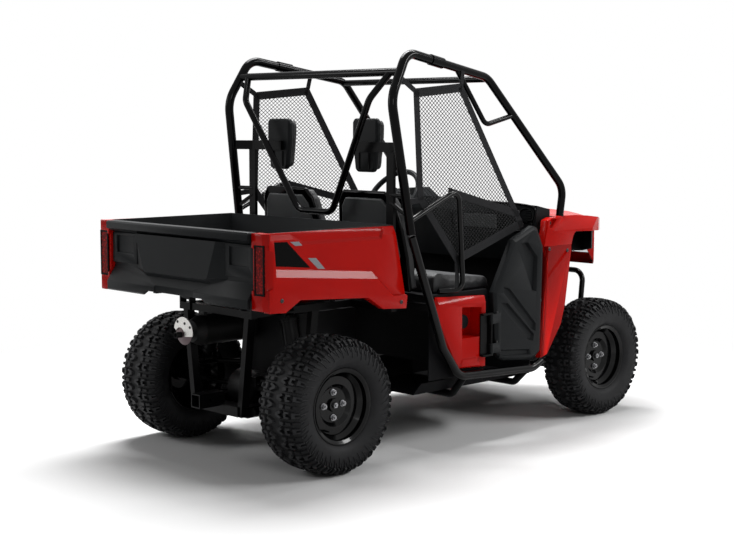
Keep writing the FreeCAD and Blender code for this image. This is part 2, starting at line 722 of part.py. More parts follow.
def rim(centre, tyre_width, side):
    """A pressed steel rim with its dished disc, and the hub that runs on the spindle."""
    half = rim_half(tyre_width)
    seat = RIM_SEAT_RADIUS
    lip = seat + RIM_LIP
    well = seat - RIM_DROP
    lip_out = half
    lip_in = half - RIM_LIP_WIDTH
    well_out = lip_in - RIM_DROP
    well_in = lip_in - RIM_DROP * 2
    disc_out = half - DISH_DEPTH
    bowl_out = disc_out - DISC_BOWL_DEPTH
    outer = [
        (lip, -lip_out), (lip, -lip_in), (seat, -lip_in), (seat, -well_out), (well, -well_in),
        (well, well_in), (seat, well_out), (seat, lip_in), (lip, lip_in), (lip, lip_out),
    ]
    inner = [
        (lip - RIM_WALL, lip_out), (seat - RIM_WALL, lip_in), (seat - RIM_WALL, well_out),
        (well - RIM_WALL, well_in), (well - RIM_WALL, disc_out - RIM_DROP),
        (well - RIM_WALL, -well_in), (seat - RIM_WALL, -well_out), (seat - RIM_WALL, -lip_in),
        (lip - RIM_WALL, -lip_out),
    ]
    barrel = spun(outer + inner, centre, side)
    disc = spun(
        [
            (0, bowl_out), (DISC_BOWL_RADIUS - DISC_BOWL_DEPTH, bowl_out), (DISC_BOWL_RADIUS, disc_out),
            (well - RIM_WALL / 2, disc_out), (well - RIM_WALL / 2, disc_out - DISC_WALL),
            (DISC_BOWL_RADIUS, disc_out - DISC_WALL),
            (DISC_BOWL_RADIUS - DISC_BOWL_DEPTH, bowl_out - DISC_WALL), (0, bowl_out - DISC_WALL),
        ],
        centre, side,
    )
    bore = SPINDLE_RADIUS + SPINDLE_CLEARANCE
    hub = spun(
        [
            (0, bowl_out + HUB_CAP_HEIGHT), (HUB_CAP_RADIUS, bowl_out + HUB_CAP_HEIGHT),
            (HUB_CAP_RADIUS, bowl_out), (HUB_RADIUS, bowl_out - DISC_WALL / 2),
            (HUB_RADIUS, bowl_out - HUB_LENGTH), (bore, bowl_out - HUB_LENGTH),
            (bore, bowl_out - DISC_WALL), (0, bowl_out - DISC_WALL),
        ],
        centre, side,
    )
    return joined([barrel, disc, hub])


def hub_inner_face(tyre_width):
    """How far outboard of the wheel's centre plane the hub's inboard face lies."""
    return rim_half(tyre_width) - DISH_DEPTH - DISC_BOWL_DEPTH - HUB_LENGTH


def spindle(centre, tyre_width, side, root_out):
    """The stub axle from its knuckle, root_out from the centre plane, into the hub."""
    start = centre + V(0, side * root_out, 0)
    depth = hub_inner_face(tyre_width) + HUB_LENGTH - DISC_WALL - SPINDLE_END_GAP
    return cylinder(SPINDLE_RADIUS, start, centre + V(0, side * depth, 0))


def kingpin_point(side, rise):
    """A point on the leaning steering axis, rise above the wheel's centre."""
    lean = math.tan(math.radians(KINGPIN_LEAN_DEG))
    return V(WHEELBASE, side * (KINGPIN_HALF_TRACK - rise * lean), TYRE_RADIUS + rise)


def kingpin_way(side):
    """The leaning steering axis, from the lower ball joint up."""
    return unit(kingpin_point(side, BALL_JOINT_SPREAD / 2) - kingpin_point(side, -BALL_JOINT_SPREAD / 2))


def front_knuckle(side):
    """The steered knuckle between its two pivots, with the spindle and the steering arm."""
    centre = front_wheel_centre(side)
    top = kingpin_point(side, BALL_JOINT_SPREAD / 2)
    low = kingpin_point(side, -BALL_JOINT_SPREAD / 2)
    way = kingpin_way(side)
    inset = way * (BALL_JOINT_RADIUS + SEAT_GAP)
    barrel = cylinder(BALL_JOINT_RADIUS, low + inset, top - inset)
    pins = cylinder(KINGPIN_RADIUS, low - way * BALL_JOINT_RADIUS, top + way * BALL_JOINT_RADIUS)
    out = KINGPIN_HALF_TRACK - FRONT_HALF_TRACK
    boss_end = hub_inner_face(FRONT_TYRE_WIDTH) - SWING_GAP
    boss = cylinder(KNUCKLE_BOSS_RADIUS, centre + V(0, side * out, 0), centre + V(0, side * boss_end, 0))
    end = steer_arm_end(side)
    arm = tube([kingpin_point(side, STEER_ARM_RISE), end], STEER_ARM_RADIUS * 2)
    half = V(0, 0, STEER_ARM_RADIUS)
    eye = cylinder(BALL_JOINT_RADIUS, end - half, end + half)
    return joined([barrel, pins, boss, arm, eye, spindle(centre, FRONT_TYRE_WIDTH, side, out)])


def steer_arm_end(side):
    """The ball of the steering arm, behind the axle and near the steering axis."""
    return V(RACK_AHEAD, side * (KINGPIN_HALF_TRACK - STEER_ARM_INSET), RACK_Z)


def steering_rack():
    """The sliding rack bar with both tie rods, which reach almost to the steering arms."""
    end = steer_arm_end(1).y - BALL_JOINT_RADIUS - TIE_ROD_GAP
    rack = cylinder(
        RACK_RADIUS, V(RACK_AHEAD, -RACK_HALF_LENGTH, RACK_Z), V(RACK_AHEAD, RACK_HALF_LENGTH, RACK_Z),
    )
    rods = cylinder(TIE_ROD_RADIUS, V(RACK_AHEAD, -end, RACK_Z), V(RACK_AHEAD, end, RACK_Z))
    return joined([rack, rods])


def rack_housing():
    """The fixed tube that the rack slides in, and its two feet on the cross member."""
    half = RACK_HOUSING_HALF
    outer = cylinder(RACK_HOUSING_RADIUS, V(RACK_AHEAD, -half, RACK_Z), V(RACK_AHEAD, half, RACK_Z))
    low = RAIL_TOP_Z + SEAT_GAP
    foot = box(RACK_AHEAD - RACK_RADIUS, RACK_AHEAD + RACK_RADIUS, RACK_FOOT_HALF, half, low, RACK_Z)
    reach = half + OVERRUN
    bore = cylinder(
        RACK_RADIUS + SPINDLE_CLEARANCE, V(RACK_AHEAD, -reach, RACK_Z), V(RACK_AHEAD, reach, RACK_Z),
    )
    return joined([outer] + both_sides(foot)).cut(bore)


def control_arm(axle_ahead, inner_half, inner_z, outer, way):
    """A left wishbone: two bushes at the frame, two legs, a tie and the eye at its outer end."""
    pieces = []
    for end in (-1, 1):
        bush = V(axle_ahead + end * ARM_SPREAD, inner_half, inner_z)
        run = V(ARM_BUSH_LENGTH / 2, 0, 0)
        pieces.append(cylinder(ARM_BUSH_RADIUS, bush - run, bush + run))
        pieces.append(tube([bush, outer], ARM_TUBE))
    tie = between(V(axle_ahead, inner_half, inner_z), outer, ARM_TIE_SHARE)
    tie_run = V(ARM_SPREAD * (1 - ARM_TIE_SHARE), 0, 0)
    pieces.append(tube([tie - tie_run, tie + tie_run], ARM_TIE_TUBE))
    reach = way * BALL_JOINT_RADIUS
    pieces.append(cylinder(BALL_JOINT_RADIUS, outer - reach, outer + reach))
    cheek = way * (BALL_JOINT_RADIUS + OVERRUN)
    clear = cylinder(ARM_TUBE, outer + reach, outer + cheek).fuse(
        cylinder(ARM_TUBE, outer - cheek, outer - reach)
    )
    return joined(pieces).cut(clear)


def arm_outer(axle_ahead, rise):
    """The outer eye of a left wishbone, rise above the axle."""
    if axle_ahead:
        return kingpin_point(1, rise)
    return V(0, REAR_ARM_OUTER_HALF, TYRE_RADIUS + rise)


def wishbones(axle_ahead):
    """All four wishbones of one axle; the front ones are bored for the knuckle's pins."""
    rise = BALL_JOINT_SPREAD / 2
    way = kingpin_way(1) if axle_ahead else V(0, 0, 1)
    low = control_arm(axle_ahead, LOWER_INNER_HALF, LOWER_INNER_Z, arm_outer(axle_ahead, -rise), way)
    high = control_arm(axle_ahead, UPPER_INNER_HALF, UPPER_INNER_Z, arm_outer(axle_ahead, rise), way)
    if axle_ahead:
        start = kingpin_point(1, -BALL_JOINT_SPREAD)
        bore = cylinder(KINGPIN_RADIUS + PIN_CLEARANCE, start, kingpin_point(1, BALL_JOINT_SPREAD))
        low = low.cut(bore)
        high = high.cut(bore)
    return both_sides(low) + both_sides(high)


def rear_knuckle():
    """The left rear upright between the wishbones, with its spindle."""
    centre = rear_wheel_centre(1)
    inner = REAR_ARM_OUTER_HALF - BALL_JOINT_RADIUS
    outer = REAR_ARM_OUTER_HALF + BALL_JOINT_RADIUS
    half = KNUCKLE_WIDTH / 2
    rise = BALL_JOINT_SPREAD / 2 - BALL_JOINT_RADIUS - SEAT_GAP
    upright = box(-half, half, inner, outer, TYRE_RADIUS - rise, TYRE_RADIUS + rise)
    boss_end = hub_inner_face(REAR_TYRE_WIDTH) - SWING_GAP
    out = REAR_ARM_OUTER_HALF - REAR_HALF_TRACK
    boss = cylinder(KNUCKLE_BOSS_RADIUS, centre + V(0, out, 0), centre + V(0, boss_end, 0))
    return joined([upright, boss, spindle(centre, REAR_TYRE_WIDTH, 1, out)])


def shock_ends(axle_ahead):
    """The lower and upper eye of a left shock, which stands on the upper wishbone's tie."""
    inner = V(axle_ahead, UPPER_INNER_HALF, UPPER_INNER_Z)
    tie = between(inner, arm_outer(axle_ahead, BALL_JOINT_SPREAD / 2), ARM_TIE_SHARE)
    foot = V(tie.x, tie.y, tie.z + ARM_TIE_TUBE / 2 + SHOCK_EYE_RADIUS + SEAT_GAP)
    if axle_ahead:
        rail_low = TOWER_TOP_Z - TOWER_TUBE * 3 / 4
        top = V(axle_ahead, TOWER_HALF, rail_low - SHOCK_EYE_RADIUS - SEAT_GAP)
    else:
        top = V(
            0, POST_TOP_HALF + DECK_RAIL / 2 + SHOCK_EYE_RADIUS + SEAT_GAP, DECK_RAIL_TOP_Z - DECK_RAIL / 2,
        )
    return foot, top


def spring_over_damper(foot, top):
    """The damper's body and rod, its two eyes and spring seats, and the coil between them."""
    along = unit(top - foot)
    length = (top - foot).Length
    seat = SPRING_RADIUS + SPRING_WIRE / 2
    low_seat = foot + along * (SHOCK_BODY_RADIUS + SPRING_WIRE)
    high_seat = top - along * (SHOCK_BODY_RADIUS + SPRING_WIRE)
    eye = V(SHOCK_BODY_RADIUS, 0, 0)
    pieces = [
        cylinder(SHOCK_BODY_RADIUS, foot, between(foot, top, SHOCK_BODY_SHARE)),
        cylinder(SHOCK_ROD_RADIUS, foot, top),
        cylinder(seat, low_seat, low_seat + along * SPRING_WIRE),
        cylinder(seat, high_seat - along * SPRING_WIRE, high_seat),
        cylinder(SHOCK_EYE_RADIUS, foot - eye, foot + eye),
        cylinder(SHOCK_EYE_RADIUS, top - eye, top + eye),
        cylinder(SPRING_RADIUS, low_seat, high_seat),
    ]
    return joined(pieces)


def shock_pair(axle_ahead):
    """Both shocks of one axle."""
    return both_sides(spring_over_damper(*shock_ends(axle_ahead)))


def half_shafts(axle_ahead, case_half, end_half):
    """Both half shafts of one axle, each with a boot at its two ends."""
    start = V(axle_ahead, case_half + SEAT_GAP, TYRE_RADIUS)
    end = V(axle_ahead, end_half, TYRE_RADIUS)
    inner_boot = Part.makeCone(CV_RADIUS, HALF_SHAFT_RADIUS, CV_LENGTH, start, V(0, 1, 0))
    outer_boot = Part.makeCone(HALF_SHAFT_RADIUS, CV_RADIUS, CV_LENGTH, end - V(0, CV_LENGTH, 0), V(0, 1, 0))
    return both_sides(joined([cylinder(HALF_SHAFT_RADIUS, start, end), inner_boot, outer_boot]))


def chassis_rails():
    """The two lower box rails with their cross members, as one welded ladder."""
    low = GROUND_CLEARANCE
    high = RAIL_TOP_Z
    half = RAIL_WIDTH / 2
    middles = (-RAIL_HALF, RAIL_HALF)
    rails = [box(-RAIL_REAR_BEHIND, RAIL_FRONT_AHEAD, y - half, y + half, low, high) for y in middles]
    width = CROSS_TUBE
    places = [
        -RAIL_REAR_BEHIND, ENGINE_FRONT_AHEAD + width, FLOOR_FRONT_AHEAD - width, RACK_AHEAD - width / 2,
        RAIL_FRONT_AHEAD - width,
    ]
    for place in places:
        rails.append(box(place, place + width, -RAIL_HALF, RAIL_HALF, low, high))
    return joined(rails)


def side_tube_path(side):
    """The centre line of the tube that runs from the hoop's foot down, and forward as the rocker."""
    return [
        V(SIDE_TUBE_TOP_AHEAD, side * SIDE_HALF, SIDE_TUBE_TOP_Z),
        V(SIDE_TUBE_KNEE_AHEAD, side * SIDE_HALF, SIDE_TUBE_KNEE_Z),
        V(ROCKER_REAR_AHEAD, side * SIDE_HALF, ROCKER_REAR_Z),
        V(ROCKER_FRONT_AHEAD, side * SIDE_HALF, ROCKER_FRONT_Z),
        V(ROCKER_END_AHEAD, side * SIDE_HALF, ROCKER_END_Z),
    ]


def side_tube(side, growth=0):
    """The lower side tube, which growth makes fatter for cutting its neighbours."""
    return tube(side_tube_path(side), SIDE_TUBE + growth * 2, SIDE_TUBE_BEND)


def outriggers(side):
    """The two cross tubes that carry one side tube off the rails, notched where they meet it."""
    start_y = side * (RAIL_HALF + RAIL_WIDTH / 2 + SEAT_GAP)
    z = GROUND_CLEARANCE + RAIL_HEIGHT / 2
    pieces = []
    for x in (ROCKER_REAR_AHEAD + SIDE_TUBE, ROCKER_FRONT_AHEAD - SIDE_TUBE):
        share = (x - ROCKER_REAR_AHEAD) / (ROCKER_FRONT_AHEAD - ROCKER_REAR_AHEAD)
        end_z = ROCKER_REAR_Z + (ROCKER_FRONT_Z - ROCKER_REAR_Z) * share
        knee = V(x, side * (SIDE_HALF - SIDE_TUBE * 2), z)
        pieces.append(tube([V(x, start_y, z), knee, V(x, side * SIDE_HALF, end_z)], CROSS_TUBE, SIDE_TUBE))
    return [piece.cut(side_tube(side, SEAT_GAP)) for piece in pieces]


def build_wheels():
    """The four tyres and rims."""
    for name, centre, width in (
        ("rear", rear_wheel_centre, REAR_TYRE_WIDTH), ("front", front_wheel_centre, FRONT_TYRE_WIDTH),
    ):
        for hand, side in (("left", 1), ("right", -1)):
            save("tyre_" + name + "_" + hand, tyre(centre(side), width))
            save("rim_" + name + "_" + hand, rim(centre(side), width, side))


def hoop_path(side):
    """The centre line of one rear hoop tube, from its foot to the coupler on the roof."""
    roof = between(
        V(HOOP_TOP_AHEAD, side * HOOP_TOP_HALF, HOOP_TOP_Z),
        V(PILLAR_TOP_AHEAD, side * PILLAR_TOP_HALF, PILLAR_TOP_Z),
        (COUPLER_AHEAD - HOOP_TOP_AHEAD) / (PILLAR_TOP_AHEAD - HOOP_TOP_AHEAD),
    )
    rise = unit(
        V(HOOP_KINK_AHEAD, side * HOOP_KINK_HALF, HOOP_KINK_Z) - V(
            SIDE_TUBE_TOP_AHEAD, side * SIDE_HALF, SIDE_TUBE_TOP_Z,
        )
    )
    foot = V(SIDE_TUBE_TOP_AHEAD, side * SIDE_HALF, SIDE_TUBE_TOP_Z) + rise * (SIDE_TUBE / 4)
    return [
        foot,
        V(HOOP_KINK_AHEAD, side * HOOP_KINK_HALF, HOOP_KINK_Z),
        V(HOOP_TOP_AHEAD, side * HOOP_TOP_HALF, HOOP_TOP_Z),
        roof,
    ]


def hoop_wire(side):
    """The hoop's bent centre line, whose kink is gentler than its top."""
    points = hoop_path(side)
    middle = between(points[1], points[2], 1 / 2)
    lower = bent_wire([points[0], points[1], middle], HOOP_KINK_BEND)
    upper = bent_wire([middle, points[2], points[3]], HOOP_TOP_BEND)
    return Part.Wire(lower.Edges + upper.Edges)


def hoop(side, growth=0):
    """One rear hoop tube."""
    points = hoop_path(side)
    ring = Part.Wire([Part.makeCircle(CAGE_TUBE / 2 + growth, points[0], unit(points[1] - points[0]))])
    return hoop_wire(side).makePipeShell([ring], True, False)


def hoop_point(side, height):
    """The hoop's centre at a height below its kink."""
    foot, kink = hoop_path(side)[:2]
    return between(foot, kink, (height - foot.z) / (kink.z - foot.z))


def pillar_path(side):
    """The centre line of one front pillar, from the coupler forward and down to its foot."""
    roof = hoop_path(side)[3]
    top = V(PILLAR_TOP_AHEAD, side * PILLAR_TOP_HALF, PILLAR_TOP_Z)
    return [
        roof + unit(top - roof) * SEAT_GAP,
        top,
        V(PILLAR_BASE_AHEAD, side * PILLAR_BASE_HALF, PILLAR_BASE_Z),
        V(PILLAR_FOOT_AHEAD, side * PILLAR_FOOT_HALF, PILLAR_FOOT_Z),
    ]


def pillar(side, growth=0):
    """One bare front pillar."""
    return tube(pillar_path(side), PILLAR_TUBE + growth * 2, PILLAR_BEND)


def grab_bar(side):
    """The thin grab tube under the passenger's roof rail that ends part way down the pillar."""
    roof, top, base, _ = pillar_path(side)
    start = between(roof, top, (GRAB_START_AHEAD - roof.x) / (top.x - roof.x))
    end = between(top, base, (GRAB_END_AHEAD - top.x) / (base.x - top.x))
    corner = V(GRAB_CORNER_AHEAD, (start.y + end.y) / 2, GRAB_CORNER_Z)
    return tube([start, corner, end], GRAB_TUBE, GRAB_TUBE * 2)


def coupler(side):
    """The sleeve bolted round the roof joint, hollow for both tubes."""
    roof = hoop_path(side)[3]
    along = unit(pillar_path(side)[1] - roof)
    start = roof - along * (COUPLER_LENGTH / 2)
    outer = Part.makeCylinder(CAGE_TUBE / 2 + COUPLER_WALL, COUPLER_LENGTH, start, along)
    inner = Part.makeCylinder(
        CAGE_TUBE / 2 + SEAT_GAP, COUPLER_LENGTH + OVERRUN * 2, start - along * OVERRUN, along,
    )
    return outer.cut(inner)


def build_cage():
    """The roll cage: hoops, pillars, crossbars and braces, each notched to the tube it meets."""
    hoops = [hoop(side) for side in (1, -1)]
    save("rear_hoops", *hoops)
    pillars = [pillar(1), joined([pillar(-1), grab_bar(-1)])]
    save("front_pillars", *pillars)
    save("cage_couplers", *[coupler(side) for side in (1, -1)])
    left = between(hoop_path(1)[1], hoop_path(1)[2], CROSSBAR_SHARE)
    right = V(left.x, -left.y, left.z)
    fat_hoops = [hoop(side, SEAT_GAP) for side in (1, -1)]
    rear_bar = cylinder(CAGE_BAR / 2, right, left)
    for fat in fat_hoops:
        rear_bar = rear_bar.cut(fat)
    top = pillar_path(1)[1]
    front_bar = cylinder(
        BRACE_TUBE / 2, V(top.x, -top.y, top.z - BRACE_TUBE / 4), V(top.x, top.y, top.z - BRACE_TUBE / 4),
    )
    for side in (1, -1):
        front_bar = front_bar.cut(pillar(side, SEAT_GAP))
    save("cage_crossbars", rear_bar.Solids[0], max(front_bar.Solids, key=lambda s: s.Volume))
    brace = tube(
        [
            V(left.x, BRACE_TOP_HALF, left.z),
            V(BRACE_KINK_AHEAD, BRACE_KINK_HALF, BRACE_KINK_Z),
            V(BRACE_FOOT_AHEAD, BRACE_FOOT_HALF, BRACE_FOOT_Z),
            V(BRACE_FOOT_AHEAD, -BRACE_FOOT_HALF, BRACE_FOOT_Z),
            V(BRACE_KINK_AHEAD, -BRACE_KINK_HALF, BRACE_KINK_Z),
            V(left.x, -BRACE_TOP_HALF, left.z),
        ],
        BRACE_TUBE, BRACE_BEND,
    )
    fat_bar = cylinder(CAGE_BAR / 2 + SEAT_GAP, right, left)
    brace = max(brace.cut(fat_bar).Solids, key=lambda s: s.Volume)
    save("centre_brace", brace)
    save("seat_back_frames", *both_sides(seat_back_frame(fat_hoops[0])))
    save("shoulder_guards", *both_sides(shoulder_guard(fat_hoops[0])))


def seat_back_frame(fat_hoop):
    """The left flat post with its headrest bar out to the hoop, and two struts."""
    at_hoop = hoop_point(1, HEAD_BAR_Z)
    post_top = V(SEAT_POST_AHEAD, SEAT_POST_HALF, HEAD_BAR_Z)
    pieces = [
        bar(at_hoop, post_top, HEAD_BAR_HEIGHT, HEAD_BAR_THICKNESS),
        bar(
            post_top - V(0, -HEAD_BAR_THICKNESS, 0), V(SEAT_POST_AHEAD, HEAD_BAR_INNER_HALF, HEAD_BAR_Z),
            HEAD_BAR_HEIGHT, HEAD_BAR_THICKNESS,
        ),
        box(
            SEAT_POST_AHEAD - SEAT_POST_THICKNESS / 2, SEAT_POST_AHEAD + SEAT_POST_THICKNESS / 2,
            SEAT_POST_HALF - SEAT_POST_WIDTH / 2, SEAT_POST_HALF + SEAT_POST_WIDTH / 2,
            DECK_RAIL_TOP_Z + SEAT_GAP, HEAD_BAR_Z + HEAD_BAR_HEIGHT / 2,
        ),
    ]
    level = hoop_point(1, (HEAD_BAR_Z + BRACE_FOOT_Z) / 2 - STRUT_TUBE * 3)
    pieces.append(tube([level, V(SEAT_POST_AHEAD, SEAT_POST_HALF, level.z)], STRUT_TUBE))
    low = hoop_point(1, BRACE_FOOT_Z)
    pieces.append(tube([low, V(SEAT_POST_AHEAD, SEAT_POST_HALF, low.z + STRUT_TUBE * 3)], STRUT_TUBE))
    return max(joined(pieces).cut(fat_hoop).Solids, key=lambda s: s.Volume)


def guard_loop(growth=0):
    """The bent tube of the left shoulder guard, from the hoop to its foot on the seat base."""
    foot_z = SEAT_BASE_TOP_Z + GUARD_TUBE / 2 + SEAT_GAP
    path = [
        hoop_point(1, GUARD_START_Z),
        V(GUARD_CORNER_AHEAD, GUARD_HALF, GUARD_CORNER_Z),
        V(GUARD_FOOT_AHEAD, GUARD_FOOT_HALF, foot_z),
        V(GUARD_BASE_AHEAD, SEAT_BASE_HALF - GUARD_TUBE / 2, foot_z),
    ]
    return tube(path, GUARD_TUBE + growth * 2, GUARD_BEND)


def shoulder_guard(fat_hoop):
    """The left shoulder guard, notched to the hoop."""
    return max(guard_loop().cut(fat_hoop).Solids, key=lambda s: s.Volume)


def net_point(ahead, height):
    """A point on the left net's leaning plane."""
    drop = (NET_TOP_Z - height) * NET_LEAN_UP_SHARE
    draw = (ahead - NET_REAR_AHEAD) * NET_LEAN_AHEAD_SHARE
    return V(ahead, NET_HALF + drop - draw, height)


NET_OUTLINE_SHARES = ((0.0, 0.963), (0.43, 1.0), (1.0, 0.18), (0.33, 0.0), (0.004, 0.365))
NET_TAB_SHARES = (
    ((0.0, 0.963), (-0.12, 1.03)), ((0.43, 1.0), (0.45, 1.09)), ((0.004, 0.365), (-0.11, 0.355)),
    ((0.33, 0.0), (0.33, -0.157)),
)


def side_net():
    """The left net as one thin sheet, with the tabs that tie its corners."""
    corners = [
        net_point(x, z)
        for x, z in spread(NET_OUTLINE_SHARES, (NET_REAR_AHEAD, NET_LOW_Z), (NET_FRONT_AHEAD, NET_TOP_Z))
    ]
    edge_a = corners[1] - corners[0]
    edge_b = corners[3] - corners[0]
    normal = unit(edge_a.cross(edge_b))
    pieces = [face_of(corners).extrude(normal * NET_THICKNESS)]
    for ends in NET_TAB_SHARES:
        start, end = [
            net_point(x, z)
            for x, z in spread(ends, (NET_REAR_AHEAD, NET_LOW_Z), (NET_FRONT_AHEAD, NET_TOP_Z))
        ]
        across = unit((end - start).cross(normal)) * (NET_TAB_WIDTH / 2)
        start = start - unit(end - start) * NET_TAB_WIDTH
        pieces.append(
            face_of(
                [start - across, start + across, end + across, end - across]
            ).extrude(normal * NET_THICKNESS)
        )
    net = joined(pieces)
    for neighbour in (hoop(1, SEAT_GAP), pillar(1, SEAT_GAP), guard_loop(SEAT_GAP)):
        net = net.cut(neighbour)
    return max(net.Solids, key=lambda s: s.Volume)


def build_nets():
    """Both side nets."""
    save("side_nets", *both_sides(side_net()))


def build_chassis():
    """Rails, side tubes, front and rear frames and the belly plate."""
    save("chassis_rails", chassis_rails())
    save("side_tubes", *[side_tube(side) for side in (1, -1)])
    save("outriggers", *(outriggers(1) + outriggers(-1)))
    save("rear_posts", *rear_posts())
    save("bed_deck", bed_deck())
    save("front_frame", front_frame())


def deck_bar(start_x, start_y, end_x, end_y):
    """A square bar of the deck that carries the bed, flush with the deck's top."""
    z = DECK_RAIL_TOP_Z - DECK_RAIL / 2
    return bar(V(start_x, start_y, z), V(end_x, end_y, z), DECK_RAIL, DECK_RAIL)


def bed_hinge_ears(side):
    """The two ears and the pin that hold one barrel of the bed."""
    y = side * POST_TOP_HALF
    centre = V(-BED_HINGE_BEHIND, y, BED_HINGE_Z)
    pieces = []
    for way in (-1, 1):
        inner = y + way * (BED_BARREL_HALF + SEAT_GAP)
        outer = inner + way * BED_EAR
        low, high = min(inner, outer), max(inner, outer)
        radius = BED_BARREL_RADIUS
        pieces.append(cylinder(radius, V(centre.x, low, centre.z), V(centre.x, high, centre.z)))
        pieces.append(
            box(centre.x - radius, centre.x + radius, low, high, DECK_RAIL_TOP_Z - DECK_RAIL, centre.z)
        )
    reach = BED_BARREL_HALF + SEAT_GAP + BED_EAR
    pieces.append(
        cylinder(BED_HINGE_RADIUS, V(centre.x, y - reach, centre.z), V(centre.x, y + reach, centre.z))
    )
    foot_z = DECK_RAIL_TOP_Z - DECK_RAIL
    pieces.append(
        box(
            centre.x - BED_BARREL_RADIUS, centre.x + BED_BARREL_RADIUS, y - reach, y + reach, foot_z,
            DECK_RAIL_TOP_Z,
        )
    )
    return pieces


def pivot_plate(start, end, side):
    """The plate on a post that the upper wishbone's bush bolts to."""
    radius = ARM_BUSH_RADIUS
    outer = side * (UPPER_INNER_HALF + radius)
    inner = side * RAIL_HALF
    low, high = min(inner, outer), max(inner, outer)
    return box(min(start, end), max(start, end), low, high, UPPER_INNER_Z - radius, UPPER_INNER_Z + radius)


def rear_posts():
    """The rear and front pairs of posts on the rails, with the hitch and the upper wishbones' plates."""
    x = -POST_BEHIND
    pieces = []
    for side in (1, -1):
        for place in (x, -x):
            foot = V(place, side * POST_FOOT_HALF, GROUND_CLEARANCE)
            pieces.append(bar(foot, V(place, side * POST_TOP_HALF, POST_TOP_Z), POST_DEPTH, POST_WIDTH))
            face = place + math.copysign(POST_DEPTH / 2, -place)
            pieces.append(pivot_plate(face, face + math.copysign(PIVOT_PLATE, -place), side))
    back = -RAIL_REAR_BEHIND - SEAT_GAP
    pieces.append(box(back - CROSS_TUBE, back, -POST_FOOT_HALF, POST_FOOT_HALF, GROUND_CLEARANCE, RAIL_TOP_Z))
    half = HITCH_OUTER / 2
    pieces.append(box(-HITCH_END_BEHIND, back, -half, half, HITCH_Z - half, HITCH_Z + half))
    whole = joined(pieces)
    bore = HITCH_BORE / 2
    whole = whole.cut(
        box(-HITCH_END_BEHIND - OVERRUN, back - CROSS_TUBE, -bore, bore, HITCH_Z - bore, HITCH_Z + bore)
    )
    pin_x = -HITCH_END_BEHIND + HITCH_PIN_INSET
    whole = whole.cut(
        cylinder(HITCH_PIN_RADIUS, V(pin_x, -HITCH_OUTER, HITCH_Z), V(pin_x, HITCH_OUTER, HITCH_Z))
    )
    rails = box(
        -RAIL_REAR_BEHIND - SEAT_GAP, RAIL_FRONT_AHEAD, -SIDE_HALF, SIDE_HALF, 0, RAIL_TOP_Z + SEAT_GAP,
    )
    deck = box(
        -HITCH_END_BEHIND, RAIL_FRONT_AHEAD, -SIDE_HALF, SIDE_HALF, DECK_LOW_Z - SEAT_GAP, DECK_RAIL_TOP_Z,
    )
    return [solid for solid in whole.cut(rails).cut(deck).Solids if solid.BoundBox.ZMax > UPPER_INNER_Z]


def bed_deck():
    """The deck rails that carry the bed, with its hinge ears and front stops."""
    x = -POST_BEHIND
    pieces = []
    for side in (1, -1):
        pieces.append(
            deck_bar(x - POST_DEPTH / 2, side * POST_TOP_HALF, DECK_RAIL_FRONT_AHEAD, side * POST_TOP_HALF)
        )
        pieces.extend(bed_hinge_ears(side))
        stop = V(BED_STOP_AHEAD, side * POST_TOP_HALF, DECK_RAIL_TOP_Z - DECK_RAIL / 2)
        stop_top = V(stop.x, stop.y, TUB_FLOOR_Z - TUB_WALL - BED_RAIL - SEAT_GAP)
        pieces.append(cylinder(BED_STOP_RADIUS, stop, stop_top))
    post_reach = SEAT_POST_HALF + SEAT_POST_WIDTH / 2
    pieces.append(deck_bar(x, -POST_TOP_HALF, x, POST_TOP_HALF))
    pieces.append(deck_bar(SEAT_POST_AHEAD, -post_reach, SEAT_POST_AHEAD, post_reach))
    pieces.append(deck_bar(DECK_RAIL_FRONT_AHEAD, -SIDE_HALF, DECK_RAIL_FRONT_AHEAD, SIDE_HALF))
    whole = joined(pieces)
    for side in (1, -1):
        whole = whole.cut(side_tube(side, SEAT_GAP))
    return max(whole.Solids, key=lambda s: s.Volume)


def tower_half(height):
    """How far from the middle a tower leg's centre stands at a height."""
    return RAIL_HALF + TOWER_SLOPE * (height - RAIL_TOP_Z)


def front_frame():
    """The tower over the front axle, and the tubes back to the pillar feet."""
    low = RAIL_TOP_Z - TOWER_TUBE / 2
    pieces = []
    places = (WHEELBASE - ARM_SPREAD, WHEELBASE + ARM_SPREAD)
    for x in places:
        path = [
            V(x, -tower_half(low), low), V(x, -TOWER_HALF, TOWER_TOP_Z), V(x, TOWER_HALF, TOWER_TOP_Z),
            V(x, tower_half(low), low),
        ]
        pieces.append(tube(path, TOWER_TUBE, TOWER_TUBE))
    for side in (1, -1):
        y = side * TOWER_HALF
        drop = TOWER_TUBE / 4
        pieces.append(
            tube([V(places[0], y, TOWER_TOP_Z - drop), V(places[1], y, TOWER_TOP_Z - drop)], TOWER_TUBE)
        )
        base, foot = pillar_path(side)[2:]
        down = unit(foot - base)
        start = V(places[0], y, TOWER_TOP_Z - drop)
        knee = foot + down * (foot.z - TOWER_TOP_Z - TOWER_TUBE * 2)
        pieces.append(tube([start, knee, foot + down * SEAT_GAP], TOWER_TUBE, TOWER_TUBE * 2))
    rails = box(
        places[0] - TOWER_TUBE, places[1] + TOWER_TUBE, -TOWER_HALF, TOWER_HALF, 0, RAIL_TOP_Z + SEAT_GAP,
    )
    return joined(pieces).cut(rails)


